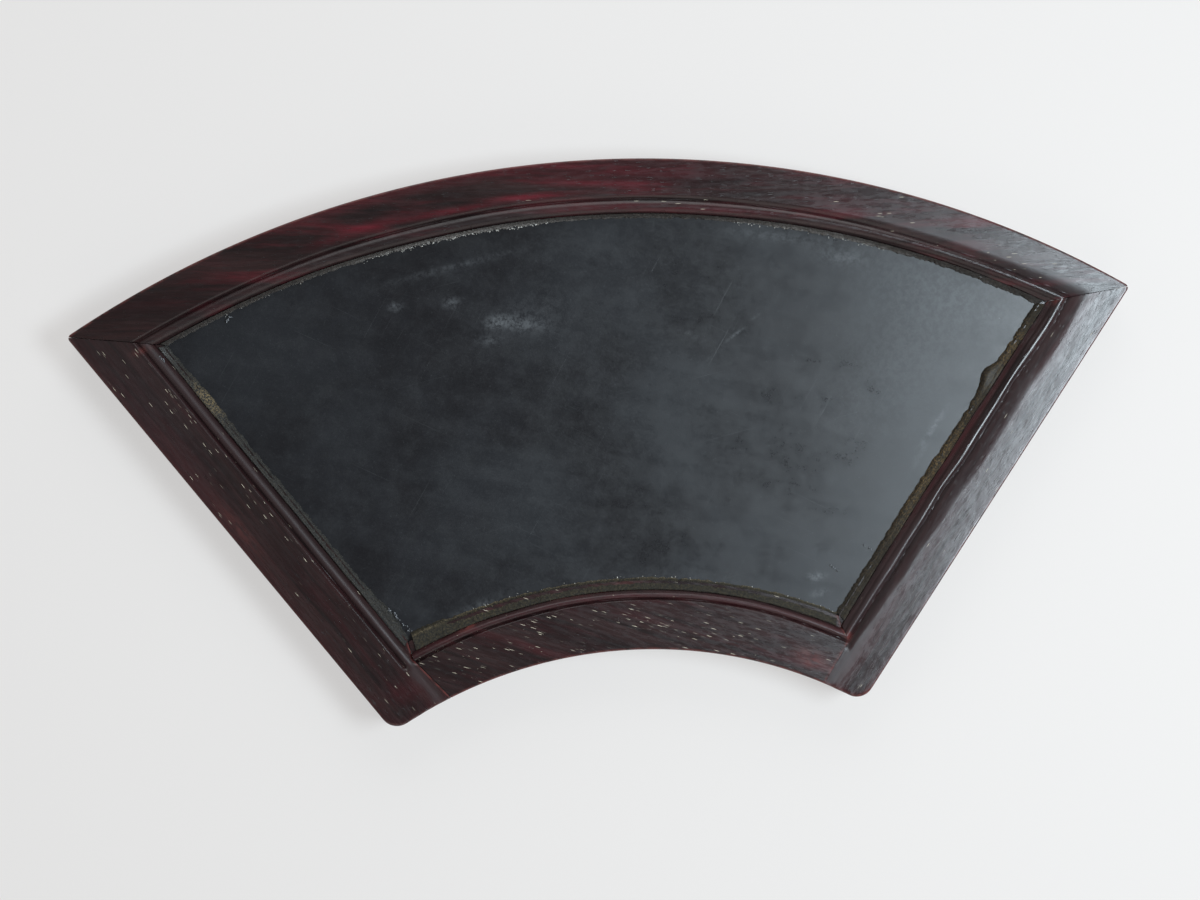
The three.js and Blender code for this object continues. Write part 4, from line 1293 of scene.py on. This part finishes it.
iron = rusty_iron()
for number in range(1, 9):
    low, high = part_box(f"board_brad_{number}")
    middle = (low + high) / 2
    flat = Vector((middle.x, middle.z)) / MM
    outs = {
        from_top_arc(flat): top_out(flat),
        from_bottom_arc(flat): bottom_out(flat),
        from_left(flat): left_out(flat),
        from_right(flat): right_out(flat),
    }
    way = outs[max(outs)]
    shank = Vector((way.x, 0, way.y))
    bpy.ops.object.select_all(action="DESELECT")
    bpy.ops.mesh.primitive_cylinder_add(
        vertices=12, radius=BRAD_RADIUS * MM, depth=BRAD_LENGTH * MM, location=middle,
        rotation=shank.to_track_quat("Z", "Y").to_euler(),
    )
    brad = bpy.context.object
    brad.name = brad.data.name = f"iron_brad_{number}"
    bpy.ops.object.transform_apply(location=True, rotation=True, scale=True)
    for vertex in brad.data.vertices:
        along = (vertex.co - middle).dot(shank)
        if along > 0:
            vertex.co = vertex.co.lerp(middle + shank * along, 0.55)
    soften(brad, 0.12, 50)
    dress(smooth(brad), iron, "iron", "panel", f"board_brad_{number}")

# Staples and rings. Drawn brass wire, dulled with age. Each staple is bent to a half round whose two
# legs are driven into the floor of a pocket, and each ring is bent round with its ends butted.
STAPLE_WIRE = 0.6
STAPLE_END_Y = -10.4
RING_RADIUS = 5.2
RING_WIRE = 0.75


def old_brass():
    material, tree, shader = new_material("old_brass")
    place = grain_place(tree, 0)
    tarnish = cloudy(tree, place, 0.5, 5.0, 0.65)
    colour = blend(
        tree, step_up(tree, tarnish, 0.35, 0.65), (0.42, 0.285, 0.125), (0.17, 0.115, 0.055)
    )
    roughness = step_up(tree, tarnish, 0.35, 0.65, 0.3, 0.55)
    drawing = cloudy(tree, place, 4.0, 2.0)
    join_up(tree, shader, colour, roughness, drawing, 0.25, 0.00005, 1.0)
    return material


brass = old_brass()
for side, name in ((-1, "left"), (1, "right")):
    pivot = Vector((side * HANGER_X, *PIVOT)) * MM
    leg_middle = Vector((side * HANGER_X, PIVOT[1] + STAPLE_ARCH))
    turns = [2 * pi * i / 14 for i in range(14)]
    wire = [leg_middle + Vector((cos(turn), sin(turn))) * STAPLE_WIRE for turn in turns]
    staple = drawn(f"brass_{name}_staple", [at(flat, STAPLE_END_Y) for flat in wire], "NGON")
    edit(staple)
    leg = (0, (PIVOT[0] - STAPLE_END_Y) * MM, 0)
    bpy.ops.mesh.extrude_region_move(TRANSFORM_OT_translate={"value": leg})
    bpy.ops.mesh.spin(steps=20, angle=-pi, center=pivot, axis=(1, 0, 0), dupli=False)
    bpy.ops.mesh.extrude_region_move(TRANSFORM_OT_translate={"value": (0, -leg[1], 0)})
    tidy(staple)
    dress(smooth(staple), brass, "brass", "panel", f"{name}_staple")

    low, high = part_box(f"{name}_ring")
    bpy.ops.object.select_all(action="DESELECT")
    bpy.ops.mesh.primitive_torus_add(
        location=(low + high) / 2, rotation=(pi / 2, 0, 0), major_segments=72, minor_segments=16,
        major_radius=RING_RADIUS * MM, minor_radius=RING_WIRE * MM,
    )
    ring = bpy.context.object
    ring.name = ring.data.name = f"brass_{name}_ring"
    bpy.ops.object.transform_apply(location=True, rotation=True, scale=True)
    dress(smooth(ring), brass, "brass", f"{name}_hanger", f"{name}_ring")

# Wall. The plain white surface that the panel hangs against. It shows only to the camera and in
# gloss, and only from in front, so that the back of the panel can be looked at.
WALL_Y = 0.0006

bpy.ops.object.select_all(action="DESELECT")
bpy.ops.mesh.primitive_plane_add(size=6, location=(0, WALL_Y, 0), rotation=(pi / 2, 0, 0))
wall = bpy.context.object
wall.name = "wall"
material, tree, shader = new_material("wall_white")
shader.inputs["Base Color"].default_value = (0.292, 0.276, 0.265, 1)
shader.inputs["Emission Color"].default_value = (1, 1, 1, 1)
shader.inputs["Emission Strength"].default_value = 0.52
shader.inputs["Roughness"].default_value = 0.9
shader.inputs["Specular IOR Level"].default_value = 0.0
rays = put(tree, "LightPath").outputs
seen = maths(tree, "MAXIMUM", rays["Is Camera Ray"], rays["Is Glossy Ray"])
facing = maths(tree, "SUBTRACT", 1.0, put(tree, "NewGeometry").outputs["Backfacing"])
clear = put(tree, "BsdfTransparent")
mixed = put(tree, "MixShader")
feed(tree, mixed.inputs, (maths(tree, "MULTIPLY", seen, facing), clear.outputs[0], shader.outputs[0]))
tree.links.new(mixed.outputs[0], tree.nodes["Material Output"].inputs["Surface"])
wall.data.materials.append(material)

# Light. A tall soft window and a smaller pane below it, close on the right, shine in the right-hand
# half. A broad pale ceiling throws the shadow down, and dim lamps and an even room fill in the rest.
def lamp(name, place, aim, size, radiance, colour):
    """A rectangular lamp with a plain brightness, pointed at the panel."""
    bpy.ops.object.light_add(type="AREA", location=place)
    light = bpy.context.object
    light.name = name
    light.data.shape = "RECTANGLE"
    light.data.size, light.data.size_y = size
    light.data.energy = radiance * pi * size[0] * size[1]
    light.data.color = colour
    light.rotation_euler = (Vector(aim) - light.location).to_track_quat("-Z", "Y").to_euler()
    return light


lamp("window", (0.60, -0.86, -0.15), (0.05, 0, -0.10), (0.33, 0.46), 20.0, (0.80, 0.92, 1.0))
lamp("window_sill", (0.47, -0.86, -0.31), (0.05, 0, -0.10), (0.22, 0.24), 6.0, (0.80, 0.92, 1.0))
lamp("behind", (0.3, 1.2, 0.4), (0.0, 0, -0.10), (1.4, 1.0), 2.6, (1.0, 0.98, 0.96))
lamp("ceiling", (0.15, -0.75, 1.25), (0.0, 0, -0.10), (1.6, 1.0), 1.9, (0.95, 0.98, 1.0))
lamp("far_side", (-1.35, -0.65, 0.0), (0.0, 0, -0.10), (1.0, 1.2), 0.7, (1.0, 0.95, 0.9))
lamp("floor", (0.0, -0.7, -1.35), (0.0, 0, -0.10), (1.4, 0.9), 0.7, (1.0, 0.96, 0.92))
room = bpy.data.worlds.new("room")
room.use_nodes = True
room.node_tree.nodes["Background"].inputs[0].default_value = (1.0, 0.95, 0.92, 1)
room.node_tree.nodes["Background"].inputs[1].default_value = 0.20
bpy.context.scene.world = room

# Camera. It stands at the photograph's angle: a little to the left of the middle, level, and
# slightly rolled.
LENS = 60.0
AZIMUTH = radians(-4.514)
ELEVATION = radians(0.737)
ROLL = radians(-3.009)
DISTANCE = 0.8037
TARGET = Vector((-0.00509, 0, -0.105))
back = Vector((sin(AZIMUTH) * cos(ELEVATION), -cos(AZIMUTH) * cos(ELEVATION), sin(ELEVATION)))
bpy.ops.object.camera_add(location=TARGET + back * DISTANCE)
camera = bpy.context.object
camera.data.lens = LENS
camera.data.sensor_width = 36
camera.rotation_mode = "QUATERNION"
camera.rotation_quaternion = (-back).to_track_quat("-Z", "Y") @ Quaternion((0, 0, 1), ROLL)
bpy.context.scene.camera = camera
bpy.context.scene.view_settings.view_transform = "Standard"
